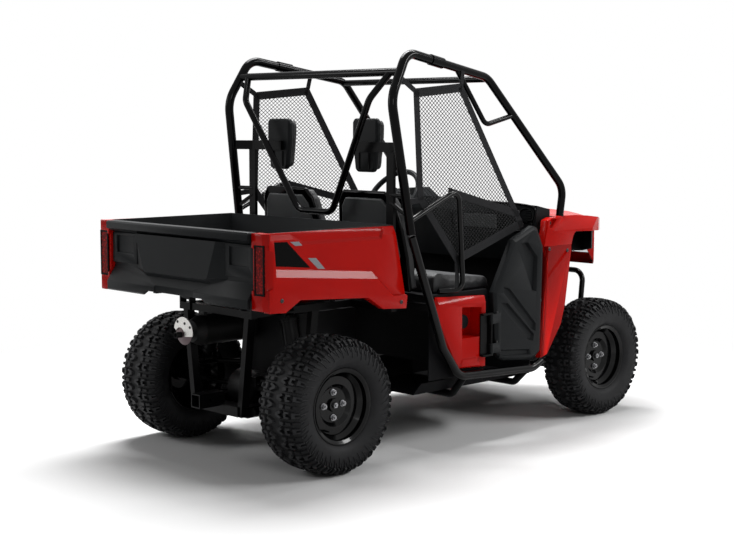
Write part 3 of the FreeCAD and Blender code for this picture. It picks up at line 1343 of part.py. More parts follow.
def build_driveline():
    """Engine, gear cases, shafts and the exhaust."""
    low = RAIL_TOP_Z
    engine_half = RAIL_HALF - RAIL_WIDTH / 2 - SEAT_GAP
    engine = box(
        ENGINE_REAR_AHEAD, ENGINE_FRONT_AHEAD, -engine_half, engine_half, low - RAIL_HEIGHT / 2,
        ENGINE_TOP_Z,
    )
    save("engine", engine)
    case = cylinder(GEARCASE_RADIUS, V(0, -GEARCASE_HALF, TYRE_RADIUS), V(0, GEARCASE_HALF, TYRE_RADIUS))
    nose = cylinder(
        GEARCASE_RADIUS / 2, V(0, 0, TYRE_RADIUS), V(ENGINE_REAR_AHEAD - SEAT_GAP, 0, TYRE_RADIUS),
    )
    front_case = cylinder(
        FRONT_CASE_RADIUS, V(WHEELBASE, -GEARCASE_HALF, TYRE_RADIUS),
        V(WHEELBASE, GEARCASE_HALF, TYRE_RADIUS),
    )
    rear_case = joined([case, nose])
    save("gear_cases", rear_case, front_case)
    prop_start = V(ENGINE_FRONT_AHEAD + SEAT_GAP, 0, TYRE_RADIUS)
    prop_end = V(WHEELBASE - FRONT_CASE_RADIUS - SEAT_GAP, 0, TYRE_RADIUS)
    save("prop_shaft", cylinder(PROP_RADIUS, prop_start, prop_end))
    save("half_shafts", *(
        half_shafts(0, GEARCASE_HALF, REAR_ARM_OUTER_HALF - BALL_JOINT_RADIUS - SEAT_GAP)
        + half_shafts(WHEELBASE, GEARCASE_HALF, KINGPIN_HALF_TRACK - BALL_JOINT_RADIUS - SWING_GAP)
    ))
    save("muffler", muffler())


def muffler():
    """The silencer lying over the gear case, with its domed rear cap and outlet."""
    start = V(-MUFFLER_END_BEHIND, MUFFLER_SIDE, MUFFLER_Z)
    body = cylinder(MUFFLER_RADIUS, start + V(MUFFLER_CAP_LENGTH, 0, 0), start + V(MUFFLER_LENGTH, 0, 0))
    cap = Part.makeCone(
        MUFFLER_RADIUS * MUFFLER_CAP_SHARE, MUFFLER_RADIUS, MUFFLER_CAP_LENGTH, start, V(1, 0, 0),
    )
    outlet = start + V(0, MUFFLER_RADIUS / 4, -MUFFLER_RADIUS / 4)
    pipe = cylinder(TAILPIPE_RADIUS, outlet - V(TAILPIPE_REACH, 0, 0), outlet + V(MUFFLER_CAP_LENGTH, 0, 0))
    hanger_top = DECK_RAIL_TOP_Z - DECK_RAIL - SEAT_GAP
    hanger = box(
        -POST_BEHIND - HANGER_WIDTH / 2, -POST_BEHIND + HANGER_WIDTH / 2, MUFFLER_SIDE - HANGER_WIDTH,
        MUFFLER_SIDE + HANGER_WIDTH, MUFFLER_Z, hanger_top,
    )
    return joined([body, cap, pipe, hanger])


def build_suspension():
    """Wishbones, shocks, knuckles, rack and its housing."""
    save("front_wishbones", *wishbones(WHEELBASE))
    save("rear_wishbones", *wishbones(0))
    save("front_shocks", *shock_pair(WHEELBASE))
    save("rear_shocks", *shock_pair(0))
    save("rear_knuckles", *both_sides(rear_knuckle()))
    save("knuckle_front_left", front_knuckle(1))
    save("knuckle_front_right", front_knuckle(-1))
    save("steering_rack", steering_rack())
    save("rack_housing", rack_housing())


def tray(solid, wall, open_ways):
    """A hollow moulding: the solid's skin, left open on the flat faces that look each open way."""
    open_faces = []
    for face in solid.Faces:
        normal = face.normalAt(0, 0)
        if any(normal.dot(way) > 0.999 for way in open_ways):
            open_faces.append(face)
    return solid.makeThickness(open_faces, -wall, 1e-3)


def floor_pan():
    """The cab floor with its sloping outer lips, its tunnel and the toe board."""
    low = RAIL_TOP_Z + SEAT_GAP
    wall = FLOOR_WALL
    side_view = [
        (FLOOR_REAR_AHEAD, low), (FLOOR_FRONT_AHEAD, low), (TOE_TOP_AHEAD, TOE_TOP_Z),
        (TOE_TOP_AHEAD - wall, TOE_TOP_Z), (FLOOR_FRONT_AHEAD - wall, low + wall),
        (FLOOR_REAR_AHEAD, low + wall),
    ]
    toe = slab_xz(side_view, -FLOOR_HALF, FLOOR_HALF)
    lip = [
        (FLOOR_HALF - wall, low), (FLOOR_HALF, low), (FLOOR_HALF + FLOOR_LIP_OUT, low + FLOOR_LIP_RISE),
        (FLOOR_HALF + FLOOR_LIP_OUT - wall, low + FLOOR_LIP_RISE), (FLOOR_HALF - wall, low + wall),
    ]
    left_lip = slab_yz(lip, FLOOR_REAR_AHEAD, FLOOR_FRONT_AHEAD)
    half = TUNNEL_HALF
    ridge = half * TUNNEL_RIDGE_SHARE
    top = low + TUNNEL_HEIGHT
    tunnel = [
        (-half, low), (-ridge, top), (ridge, top), (half, low), (half - wall, low),
        (ridge - wall, top - wall), (wall - ridge, top - wall), (-half + wall, low),
    ]
    hump = slab_yz(tunnel, FLOOR_REAR_AHEAD, FLOOR_FRONT_AHEAD)
    prop_way = cylinder(
        PROP_RADIUS + SWING_GAP, V(SEAT_BASE_FRONT_AHEAD, 0, TYRE_RADIUS), V(TOE_TOP_AHEAD, 0, TYRE_RADIUS),
    )
    return joined([toe, hump] + both_sides(left_lip)).cut(prop_way)


def seat_base():
    """The moulded bench base, open underneath and at the rear."""
    low = RAIL_TOP_Z + TUNNEL_HEIGHT + SEAT_GAP * 2
    outline = [
        (SEAT_BASE_REAR_AHEAD, low), (SEAT_BASE_FRONT_AHEAD - SEAT_BASE_RAKE, low),
        (SEAT_BASE_FRONT_AHEAD, SEAT_BASE_TOP_Z - SEAT_BASE_RAKE),
        (SEAT_BASE_FRONT_AHEAD - SEAT_BASE_RAKE / 2, SEAT_BASE_TOP_Z),
        (SEAT_BASE_REAR_AHEAD, SEAT_BASE_TOP_Z),
    ]
    block = slab_xz(outline, -SEAT_BASE_HALF, SEAT_BASE_HALF)
    shell = tray(block, SEAT_BASE_WALL, [V(0, 0, -1), V(-1, 0, 0)])
    reach = PANEL_WALL + SEAT_GAP
    window = inset(filler_outline(), [-reach] * len(FILLER_SHARES))
    for way in (-1, 1):
        inner, outer = sorted((way * (SEAT_BASE_HALF - OVERRUN), way * (SEAT_BASE_HALF + OVERRUN)))
        shell = shell.cut(slab_xz(window, inner, outer))
    return shell


def seat_cushion():
    """The left seat's bottom cushion, higher at the back."""
    low = SEAT_BASE_TOP_Z + SEAT_GAP
    outline = [
        (CUSHION_REAR_AHEAD, low), (CUSHION_FRONT_AHEAD, low), (CUSHION_FRONT_AHEAD, CUSHION_FRONT_Z),
        (CUSHION_REAR_AHEAD, CUSHION_REAR_Z),
    ]
    block = slab_xz(outline, CUSHION_INNER_HALF, CUSHION_OUTER_HALF)
    top_edges = [edge for edge in block.Edges if edge.BoundBox.ZMax > low + CUSHION_ROUND]
    return block.makeFillet(CUSHION_ROUND, top_edges)


def seat_back():
    """The left seat's back, leaning rearwards, with sloping shoulders."""
    low = SEAT_BASE_TOP_Z + SEAT_GAP
    side_view = [
        (SEAT_BACK_FOOT_AHEAD, low), (SEAT_BACK_FOOT_AHEAD + SEAT_BACK_FOOT_THICKNESS, low),
        (SEAT_BACK_TOP_AHEAD + SEAT_BACK_TOP_THICKNESS, SEAT_BACK_TOP_Z),
        (SEAT_BACK_TOP_AHEAD, SEAT_BACK_TOP_Z),
    ]
    inner = SEAT_BACK_MIDDLE - SEAT_BACK_HALF_WIDTH
    outer = SEAT_BACK_MIDDLE + SEAT_BACK_HALF_WIDTH
    slope = slab_xz(side_view, inner, outer)
    front_view = [
        (SEAT_BACK_MIDDLE + SEAT_BACK_HALF_WIDTH * a, low + (SEAT_BACK_TOP_Z - low) * b)
        for a, b in SEAT_BACK_SHARES
    ]
    shield = slab_yz(
        front_view, SEAT_BACK_TOP_AHEAD - OVERRUN,
        SEAT_BACK_FOOT_AHEAD + SEAT_BACK_FOOT_THICKNESS + OVERRUN,
    )
    return slope.common(shield).Solids[0]


def headrest():
    """The left headrest, in front of its bar."""
    rear = SEAT_POST_AHEAD + HEAD_BAR_THICKNESS / 2 + SEAT_GAP
    half = HEADREST_WIDTH / 2
    block = box(
        rear, rear + HEADREST_THICKNESS, HEADREST_MIDDLE - half, HEADREST_MIDDLE + half,
        HEADREST_Z - HEADREST_HEIGHT / 2, HEADREST_Z + HEADREST_HEIGHT / 2,
    )
    return block.makeFillet(HEADREST_ROUND, block.Edges)


def column_way():
    """The way the steering column runs, forward and down from the wheel."""
    tilt = math.radians(WHEEL_TILT_DEG)
    return V(math.cos(tilt), 0, -math.sin(tilt))


def wheel_hub_centre():
    """The middle of the steering wheel."""
    return V(WHEEL_HUB_AHEAD, WHEEL_HUB_SIDE, WHEEL_HUB_Z)


def steering_wheel():
    """The steering wheel, its three spokes and the hub, bored for the column."""
    centre = wheel_hub_centre()
    way = column_way()
    grip = Part.makeTorus(STEERING_RADIUS - STEERING_GRIP, STEERING_GRIP, centre, way)
    hub = cylinder(
        STEERING_HUB_RADIUS, centre - way * (STEERING_HUB_HEIGHT / 2),
        centre + way * (STEERING_HUB_HEIGHT / 2),
    )
    across = V(0, 1, 0)
    upright = way.cross(across)
    pieces = [grip, hub]
    for turn in SPOKE_TURNS:
        ray = across * math.cos(math.radians(turn)) + upright * math.sin(math.radians(turn))
        beside = way.cross(ray)
        a = beside * (STEERING_SPOKE / 2)
        b = way * (STEERING_SPOKE_THICKNESS / 2)
        start = centre + ray * (STEERING_HUB_RADIUS / 2)
        end = centre + ray * (STEERING_RADIUS - STEERING_GRIP)
        spoke = face_of([start - a - b, start + a - b, start + a + b, start - a + b]).extrude(end - start)
        pieces.append(spoke)
    bore = cylinder(
        COLUMN_RADIUS + PIN_CLEARANCE, centre - way * STEERING_HUB_HEIGHT / 4,
        centre + way * STEERING_HUB_HEIGHT,
    )
    return joined(pieces).cut(bore)


def steering_column():
    """The fixed column: the shaft that enters the wheel, and the shroud around it."""
    centre = wheel_hub_centre()
    way = column_way()
    shaft_start = centre - way * (STEERING_HUB_HEIGHT / 4 - SEAT_GAP * 2)
    shaft = cylinder(COLUMN_RADIUS, shaft_start, centre + way * COLUMN_LENGTH)
    shroud = cylinder(COLUMN_SHROUD_RADIUS, centre + way * COLUMN_SHROUD_START, centre + way * COLUMN_LENGTH)
    rack_end = V(RACK_AHEAD, RACK_FOOT_HALF, RACK_Z + RACK_HOUSING_RADIUS + SEAT_GAP * 2)
    column_end = centre + way * (COLUMN_LENGTH - COLUMN_RADIUS)
    joint_shaft = cylinder(
        COLUMN_RADIUS * JOINT_SHAFT_SHARE, column_end,
        rack_end + unit(column_end - rack_end) * COLUMN_RADIUS,
    )
    return joined([shaft, shroud, joint_shaft])


def dash_panel():
    """The dash moulding, open at the front, with the hump in front of the driver."""
    outline = spread(DASH_SHARES, (DASH_FACE_AHEAD, DASH_LOW_Z), (DASH_FRONT_AHEAD, DASH_TOP_Z))
    block = slab_xz(outline, -DASH_HALF, DASH_HALF)
    shell = tray(block, DASH_WALL, [V(1, 0, 0)])
    inner = BINNACLE_OFFSET - BINNACLE_HALF_WIDTH
    outer = BINNACLE_OFFSET + BINNACLE_HALF_WIDTH
    start = DASH_FACE_AHEAD + (DASH_FRONT_AHEAD - DASH_FACE_AHEAD) * BINNACLE_START_SHARE
    base = DASH_TOP_Z - BINNACLE_HEIGHT / 2
    top = DASH_TOP_Z + BINNACLE_HEIGHT
    hump_view = [
        (start, base), (start, top), (start + BINNACLE_LENGTH * BINNACLE_FLAT_SHARE, top),
        (start + BINNACLE_LENGTH, base),
    ]
    hump = slab_xz(hump_view, inner, outer)
    centre = wheel_hub_centre()
    hole = cylinder(
        COLUMN_SHROUD_RADIUS + SEAT_GAP, centre, centre + column_way() * (COLUMN_LENGTH + OVERRUN),
    )
    cavity = block.common(box(DASH_FACE_AHEAD, DASH_FRONT_AHEAD, inner, outer, DASH_LOW_Z, DASH_TOP_Z))
    solid = joined([shell, hump.cut(cavity)])
    return max(solid.cut(hole).Solids, key=lambda s: s.Volume)


def build_cab():
    """Floor, seats, dash and steering wheel."""
    save("floor_pan", floor_pan())
    save("seat_base", seat_base())
    save("seat_cushions", *both_sides(seat_cushion()))
    save("seat_backs", *both_sides(seat_back()))
    save("headrests", *both_sides(headrest()))
    save("steering_wheel", steering_wheel())
    save("steering_column", steering_column())
    save("dash_panel", dash_panel())


def bed_press(solid, shares, drafts, face, depth):
    """The bed side with one field sunk below its face."""
    outline = spread(shares, (-BED_REAR_BEHIND, BED_LOW_Z), (BED_FRONT_AHEAD, BED_TOP_Z))
    return solid.cut(
        frustum_xz(outline, face, face - depth, drafts)
    ).cut(slab_xz(outline, face, face + OVERRUN))


def bed_side():
    """The left outer side of the bed: a hollow moulding in three levels, with its rear corner."""
    inner = BED_HALF - BED_SIDE_DEPTH
    outline = spread(BED_SIDE_SHARES, (-BED_REAR_BEHIND, BED_LOW_Z), (BED_FRONT_AHEAD, BED_TOP_Z))
    brow_half = BED_HALF - BED_FIELD_DEPTH
    core_half = brow_half - BED_BROW_DEPTH - BED_SIDE_WALL
    core = slab_xz(inset(outline, [BED_SIDE_WALL] * len(outline)), inner - OVERRUN, core_half)
    shell = slab_xz(outline, inner, BED_HALF).cut(core)
    rear = -BED_REAR_BEHIND
    corner_plan = [
        (rear, CORNER_INNER_HALF), (rear + CORNER_LENGTH, CORNER_INNER_HALF),
        (rear + CORNER_LENGTH, BED_HALF), (rear + CORNER_CHAMFER, BED_HALF),
        (rear, BED_HALF - CORNER_CHAMFER),
    ]
    whole = joined([shell, slab_xy(corner_plan, CORNER_LOW_Z, BED_TOP_Z)])
    whole = bed_press(whole, BED_FIELD_SHARES, BED_FIELD_DRAFTS, BED_HALF, BED_FIELD_DEPTH)
    whole = bed_press(whole, BED_BROW_SHARES, BED_BROW_DRAFTS, brow_half, BED_BROW_DEPTH)
    whole = bed_press(whole, BED_NICK_SHARES, BED_NICK_DRAFTS, brow_half, BED_NICK_DEPTH)
    whole = whole.cut(column_draw())
    pocket = box(
        rear - OVERRUN, LAMP_DEPTH - COLUMN_REAR_BEHIND, LAMP_INNER_HALF, LAMP_INNER_HALF + LAMP_WIDTH,
        LAMP_LOW_Z, LAMP_TOP_Z,
    )
    return max(whole.cut(pocket).Solids, key=lambda s: s.Volume)


def column_draw():
    """What the left rear corner loses between its two caps, so that the lamp's column stands back."""
    rear = -BED_REAR_BEHIND - OVERRUN
    outer = BED_HALF + OVERRUN
    plan = [
        (rear, CORNER_INNER_HALF - OVERRUN), (-COLUMN_REAR_BEHIND, CORNER_INNER_HALF - OVERRUN),
        (-COLUMN_REAR_BEHIND, BED_HALF - COLUMN_DRAW), (-COLUMN_FRONT_BEHIND, BED_HALF),
        (-COLUMN_FRONT_BEHIND, outer), (rear, outer),
    ]
    draw = slab_xy(plan, COLUMN_LOW_Z, COLUMN_TOP_Z)
    side_view = [
        (rear, COLUMN_LOW_Z), (-COLUMN_FRONT_BEHIND, COLUMN_LOW_Z + COLUMN_SLOPE * 2),
        (-COLUMN_FRONT_BEHIND, COLUMN_TOP_Z - COLUMN_SLOPE * 2), (rear, COLUMN_TOP_Z),
    ]
    return draw.common(slab_xz(side_view, CORNER_INNER_HALF - OVERRUN, outer))


def tail_lamp():
    """The left tail lamp in its pocket."""
    rear = -COLUMN_REAR_BEHIND
    return box(
        rear - LAMP_PROUD, rear + LAMP_DEPTH - SEAT_GAP, LAMP_INNER_HALF + SEAT_GAP,
        LAMP_INNER_HALF + LAMP_WIDTH - SEAT_GAP, LAMP_LOW_Z + SEAT_GAP, LAMP_TOP_Z - SEAT_GAP,
    )


def bed_tub():
    """The moulded load box: ribbed floor, front and side walls, under-rails and both sets of barrels."""
    outer = BED_HALF - BED_SIDE_DEPTH - SEAT_GAP
    low = TUB_FLOOR_Z - TUB_WALL
    rear = -TUB_REAR_BEHIND
    block = box(rear, TUB_FRONT_AHEAD, -outer, outer, low, BED_TOP_Z)
    hold = box(
        rear - OVERRUN, TUB_FRONT_AHEAD - TUB_WALL, -outer + TUB_WALL, outer - TUB_WALL, TUB_FLOOR_Z,
        BED_TOP_Z + OVERRUN,
    )
    walls = block.cut(hold)
    for side in (1, -1):
        corner_low = min(side * (CORNER_INNER_HALF - SEAT_GAP), side * (outer + OVERRUN))
        corner_high = max(side * (CORNER_INNER_HALF - SEAT_GAP), side * (outer + OVERRUN))
        corner_front = -BED_REAR_BEHIND + CORNER_LENGTH + SEAT_GAP
        walls = walls.cut(
            box(rear - OVERRUN, corner_front, corner_low, corner_high, low - OVERRUN, BED_TOP_Z + OVERRUN)
        )
    pitch = TUB_SPAN / GROOVE_COUNT
    for index in range(GROOVE_COUNT):
        middle = pitch * (index + 1 / 2) - TUB_SPAN / 2
        groove_half = GROOVE_WIDTH / 2
        walls = walls.cut(
            box(
                rear + CORNER_LENGTH, TUB_FRONT_AHEAD - CORNER_LENGTH, middle - groove_half,
                middle + groove_half, TUB_FLOOR_Z - GROOVE_DEPTH, TUB_FLOOR_Z + OVERRUN,
            )
        )
    pieces = [walls]
    rail_half = BED_RAIL / 2
    for side in (1, -1):
        y = side * POST_TOP_HALF
        pieces.append(
            box(
                -BED_RAIL_REAR_BEHIND, TUB_FRONT_AHEAD, y - rail_half, y + rail_half, low - BED_RAIL,
                low + TUB_WALL / 2,
            )
        )
        centre = V(-BED_HINGE_BEHIND, y, BED_HINGE_Z)
        half = BED_BARREL_HALF
        pieces.append(cylinder(BED_BARREL_RADIUS, centre - V(0, half, 0), centre + V(0, half, 0)))
        neck = BED_BARREL_RADIUS * LUG_NECK_SHARE
        pieces.append(box(centre.x - neck, centre.x + neck, y - half, y + half, centre.z, low + TUB_WALL / 2))
    whole = joined(pieces)
    for side in (1, -1):
        centre = V(-BED_HINGE_BEHIND, side * POST_TOP_HALF, BED_HINGE_Z)
        reach = V(0, BED_BARREL_HALF + OVERRUN, 0)
        whole = whole.cut(cylinder(BED_HINGE_RADIUS + PIN_CLEARANCE, centre - reach, centre + reach))
    return joined([whole] + [ear for side in (1, -1) for ear in gate_ears(side)])


def gate_ears(side):
    """The ears and the pin under the tub's rear edge that hold one barrel of the tailgate."""
    pieces = []
    centre = V(-GATE_HINGE_BEHIND, side * GATE_BARREL_PLACE, GATE_HINGE_Z)
    radius = GATE_BARREL_RADIUS
    for way in (-1, 1):
        inner = centre.y + way * (GATE_BARREL_HALF + SEAT_GAP)
        outer = inner + way * GATE_EAR
        low, high = min(inner, outer), max(inner, outer)
        pieces.append(cylinder(radius * EAR_SHARE, V(centre.x, low, centre.z), V(centre.x, high, centre.z)))
        pieces.append(
            box(
                centre.x, -TUB_REAR_BEHIND + OVERRUN, low, high, centre.z - radius * EAR_SHARE,
                TUB_FLOOR_Z - TUB_WALL / 2,
            )
        )
    reach = V(0, GATE_BARREL_HALF + SEAT_GAP + GATE_EAR, 0)
    pieces.append(cylinder(GATE_HINGE_RADIUS, centre - reach, centre + reach))
    return pieces


def gate_profile():
    """The tailgate's section: top rail, sunk field, sloping ledge and bottom lip, as (x, z) points."""
    rear = -GATE_REAR_BEHIND
    front = -GATE_FRONT_BEHIND
    field = front - GATE_SKIN
    return [
        (front, GATE_TOP_Z), (rear + GATE_RAIL_CHAMFER, GATE_TOP_Z), (rear, GATE_TOP_Z - GATE_RAIL_CHAMFER),
        (rear, GATE_RAIL_Z), (field, GATE_FIELD_TOP_Z), (field, GATE_LEDGE_BACK_Z), (rear, GATE_LEDGE_Z),
        (rear, GATE_LOW_Z + GATE_RAIL_CHAMFER), (rear + GATE_RAIL_CHAMFER, GATE_LOW_Z),
        (rear + GATE_LIP, GATE_LOW_Z), (rear + GATE_LIP, GATE_HOLLOW_Z), (front, GATE_HOLLOW_Z),
    ]


def gate_pad():
    """The raised pad in the middle of the tailgate, with its broad bevels."""
    field = -GATE_FRONT_BEHIND - GATE_SKIN
    rings = []
    for points, x in ((GATE_PAD_BASE, field + GATE_SKIN / 2), (GATE_PAD_FACE, field - GATE_PAD_PROUD)):
        rings.append(Part.makePolygon([V(x, y, z) for y, z in points + points[:1]]))
    return Part.makeLoft(rings, True, True)


def gate_notch():
    """What the bottom lip loses in the middle: a shallow notch, and a step in the ledge."""
    half = GATE_NOTCH_HALF
    top = GATE_LOW_Z + GATE_NOTCH_RISE
    under = GATE_LOW_Z - OVERRUN
    notch = [
        (-half, under), (half, under), (half, GATE_LOW_Z), (half - GATE_NOTCH_SLOPE, top),
        (GATE_NOTCH_SLOPE - half, top), (-half, GATE_LOW_Z),
    ]
    step = GATE_STEP_HALF
    rear = -GATE_REAR_BEHIND
    groove = box(rear - OVERRUN, rear + GATE_STEP_DEPTH, -step, step, under, GATE_LEDGE_Z + OVERRUN)
    return slab_yz(notch, rear - OVERRUN, rear + GATE_LIP + SEAT_GAP).fuse(groove)


def gate_latch_frame():
    """The left raised frame around the sunk latch."""
    field = -GATE_FRONT_BEHIND - GATE_SKIN
    frame = box(
        field - GATE_FRAME_PROUD, field + GATE_SKIN / 2, GATE_FRAME_INNER, GATE_HALF, GATE_FRAME_LOW_Z,
        GATE_FIELD_TOP_Z,
    )
    sunk = box(
        field - GATE_FRAME_PROUD, field, GATE_LATCH_INNER, GATE_LATCH_OUTER, GATE_LATCH_LOW_Z,
        GATE_LATCH_TOP_Z,
    )
    return frame.cut(sunk)


def tailgate():
    """The drop-down tailgate: a deep moulding with a rail, a pad, a ledge and its hinge barrels."""
    rear = -GATE_REAR_BEHIND
    pieces = [slab_xz(gate_profile(), -GATE_HALF, GATE_HALF), gate_pad()] + both_sides(gate_latch_frame())
    body = joined(pieces).cut(gate_notch())
    pieces = [body]
    for side in (1, -1):
        centre = V(-GATE_HINGE_BEHIND, side * GATE_BARREL_PLACE, GATE_HINGE_Z)
        half = GATE_BARREL_HALF
        radius = GATE_BARREL_RADIUS
        pieces.append(cylinder(radius, centre - V(0, half, 0), centre + V(0, half, 0)))
        pieces.append(
            box(
                rear + GATE_LIP / 2, centre.x, centre.y - half, centre.y + half,
                centre.z - radius * LUG_NECK_SHARE, GATE_HOLLOW_Z + radius,
            )
        )
    whole = joined(pieces)
    for side in (1, -1):
        centre = V(-GATE_HINGE_BEHIND, side * GATE_BARREL_PLACE, GATE_HINGE_Z)
        reach = V(0, GATE_BARREL_HALF + OVERRUN / 2, 0)
        whole = whole.cut(cylinder(GATE_HINGE_RADIUS + PIN_CLEARANCE, centre - reach, centre + reach))
    return max(whole.Solids, key=lambda s: s.Volume)


def build_bed():
    """The tilting bed and its tailgate."""
    save("bed_tub", bed_tub())
    save("bed_sides", *both_sides(bed_side()))
    save("tail_lamps", *both_sides(tail_lamp()))
    save("tailgate", tailgate())


def door():
    """The left door: a moulding with a raised rim, a hollow back, and its hinge straps and barrels."""
    low = (DOOR_REAR_AHEAD, DOOR_LOW_Z)
    high = (DOOR_FRONT_AHEAD, DOOR_TOP_Z)
    inner = DOOR_OUTER_HALF - DOOR_THICKNESS
    outline = spread(DOOR_SHARES, low, high)
    shell = moulded_xz(outline, inner, DOOR_OUTER_HALF, DOOR_BEVEL, [DOOR_RIM] * len(outline), DOOR_SKIN)
    window = spread(DOOR_WINDOW_SHARES, low, high)
    shell = pressed_xz(shell, window, DOOR_OUTER_HALF, DOOR_WINDOW_DEPTH, DOOR_PRESS_DRAFT, DOOR_SKIN)
    for shares in DOOR_SLOT_SHARES:
        slot = spread(shares, low, high)
        shell = pressed_xz(shell, slot, DOOR_OUTER_HALF, DOOR_SLOT_DEPTH, DOOR_PRESS_DRAFT, DOOR_SKIN)
    pieces = [shell]
    for base in (DOOR_BARREL_LOW_Z, DOOR_BARREL_TOP_Z):
        centre = V(DOOR_HINGE_AHEAD, DOOR_HINGE_HALF, base)
        pieces.append(cylinder(DOOR_BARREL_RADIUS, centre, centre + V(0, 0, DOOR_BARREL_LENGTH)))
        pieces.append(
            box(
                DOOR_HINGE_AHEAD, DOOR_REAR_AHEAD + DOOR_BRACKET_WIDTH, DOOR_OUTER_HALF - DOOR_SKIN / 2,
                DOOR_OUTER_HALF - DOOR_SKIN / 2 + DOOR_STRAP_THICKNESS, base, base + DOOR_BARREL_LENGTH,
            )
        )
    whole = joined(pieces)
    return whole.cut(door_pin(PIN_CLEARANCE, OVERRUN))


def door_pin(growth=0, extra=0):
    """The left door's hinge pin."""
    low = V(DOOR_HINGE_AHEAD, DOOR_HINGE_HALF, DOOR_BARREL_LOW_Z - DOOR_EAR - SEAT_GAP - extra)
    high = V(
        DOOR_HINGE_AHEAD, DOOR_HINGE_HALF,
        DOOR_BARREL_TOP_Z + DOOR_BARREL_LENGTH + DOOR_EAR + SEAT_GAP + extra,
    )
    return cylinder(DOOR_PIN_RADIUS + growth, low, high)


def door_bracket():
    """The left hinge bracket on the seat side panel: a pin held by an ear at each end."""
    pieces = [door_pin()]
    back = SIDE_PANEL_FRONT_AHEAD - DOOR_BRACKET_WIDTH
    face = SIDE_PANEL_OUTER_HALF + SEAT_GAP
    low_ear = DOOR_BARREL_LOW_Z - DOOR_EAR - SEAT_GAP
    top_ear = DOOR_BARREL_TOP_Z + DOOR_BARREL_LENGTH + SEAT_GAP
    for base in (low_ear, top_ear):
        pieces.append(
            box(
                back, DOOR_HINGE_AHEAD, face, DOOR_HINGE_HALF + DOOR_BARREL_RADIUS * EAR_SHARE, base,
                base + DOOR_EAR,
            )
        )
        centre = V(DOOR_HINGE_AHEAD, DOOR_HINGE_HALF, base)
        pieces.append(cylinder(DOOR_BARREL_RADIUS * EAR_SHARE, centre, centre + V(0, 0, DOOR_EAR)))
    pieces.append(
        box(back, SIDE_PANEL_FRONT_AHEAD, face, face + DOOR_STRAP_THICKNESS, low_ear, top_ear + DOOR_EAR)
    )
    return joined(pieces)


def side_panel():
    """The left red panel under the seat, with its filler recess."""
    low = (SIDE_PANEL_REAR_AHEAD, SIDE_PANEL_LOW_Z)
    high = (SIDE_PANEL_FRONT_AHEAD, SIDE_PANEL_TOP_Z)
    inner = SEAT_BASE_HALF + SEAT_GAP
    face = SIDE_PANEL_OUTER_HALF
    shell = moulded_xz(
        spread(SIDE_PANEL_SHARES, low, high), inner, face, SIDE_PANEL_BEVEL, SIDE_PANEL_DRAFTS, PANEL_WALL,
    )
    press = spread(SIDE_PANEL_PRESS_SHARES, low, high)
    raised = frustum_xz(press, face, face + SIDE_PANEL_PRESS_PROUD, [SIDE_PANEL_PRESS_DRAFT] * len(press))
    whole = joined([shell, raised, slab_xz(press, face - PANEL_WALL / 2, face)])
    whole = pressed_xz(whole, filler_outline(), face, FILLER_DEPTH, FILLER_DRAFT, PANEL_WALL)
    whole = whole.cut(side_tube(1, SEAT_GAP))
    return max(whole.Solids, key=lambda s: s.Volume)


def filler_outline():
    """The filler recess's outline in the side panel's face."""
    low = (SIDE_PANEL_REAR_AHEAD, SIDE_PANEL_LOW_Z)
    high = (SIDE_PANEL_FRONT_AHEAD, SIDE_PANEL_TOP_Z)
    return spread(FILLER_SHARES, low, high)


def filler_cap():
    """The left round cap in the recess."""
    corners = filler_outline()
    x = (corners[0][0] + corners[1][0]) / 2
    z = (corners[0][1] + corners[2][1]) / 2
    start = V(x, SIDE_PANEL_OUTER_HALF - FILLER_DEPTH + SEAT_GAP, z)
    return cylinder(FILLER_CAP_RADIUS, start, start + V(0, FILLER_CAP_HEIGHT, 0))


def cowl_side():
    """The left lower panel between the door and the front wheel."""
    low = (COWL_REAR_AHEAD, COWL_LOW_Z)
    high = (COWL_FRONT_AHEAD, COWL_SEAM_Z)
    outline = spread(COWL_SHARES, low, high)
    return moulded_xz(outline, COWL_HALF - COWL_DEPTH, COWL_HALF, COWL_BEVEL, COWL_DRAFTS, PANEL_WALL)


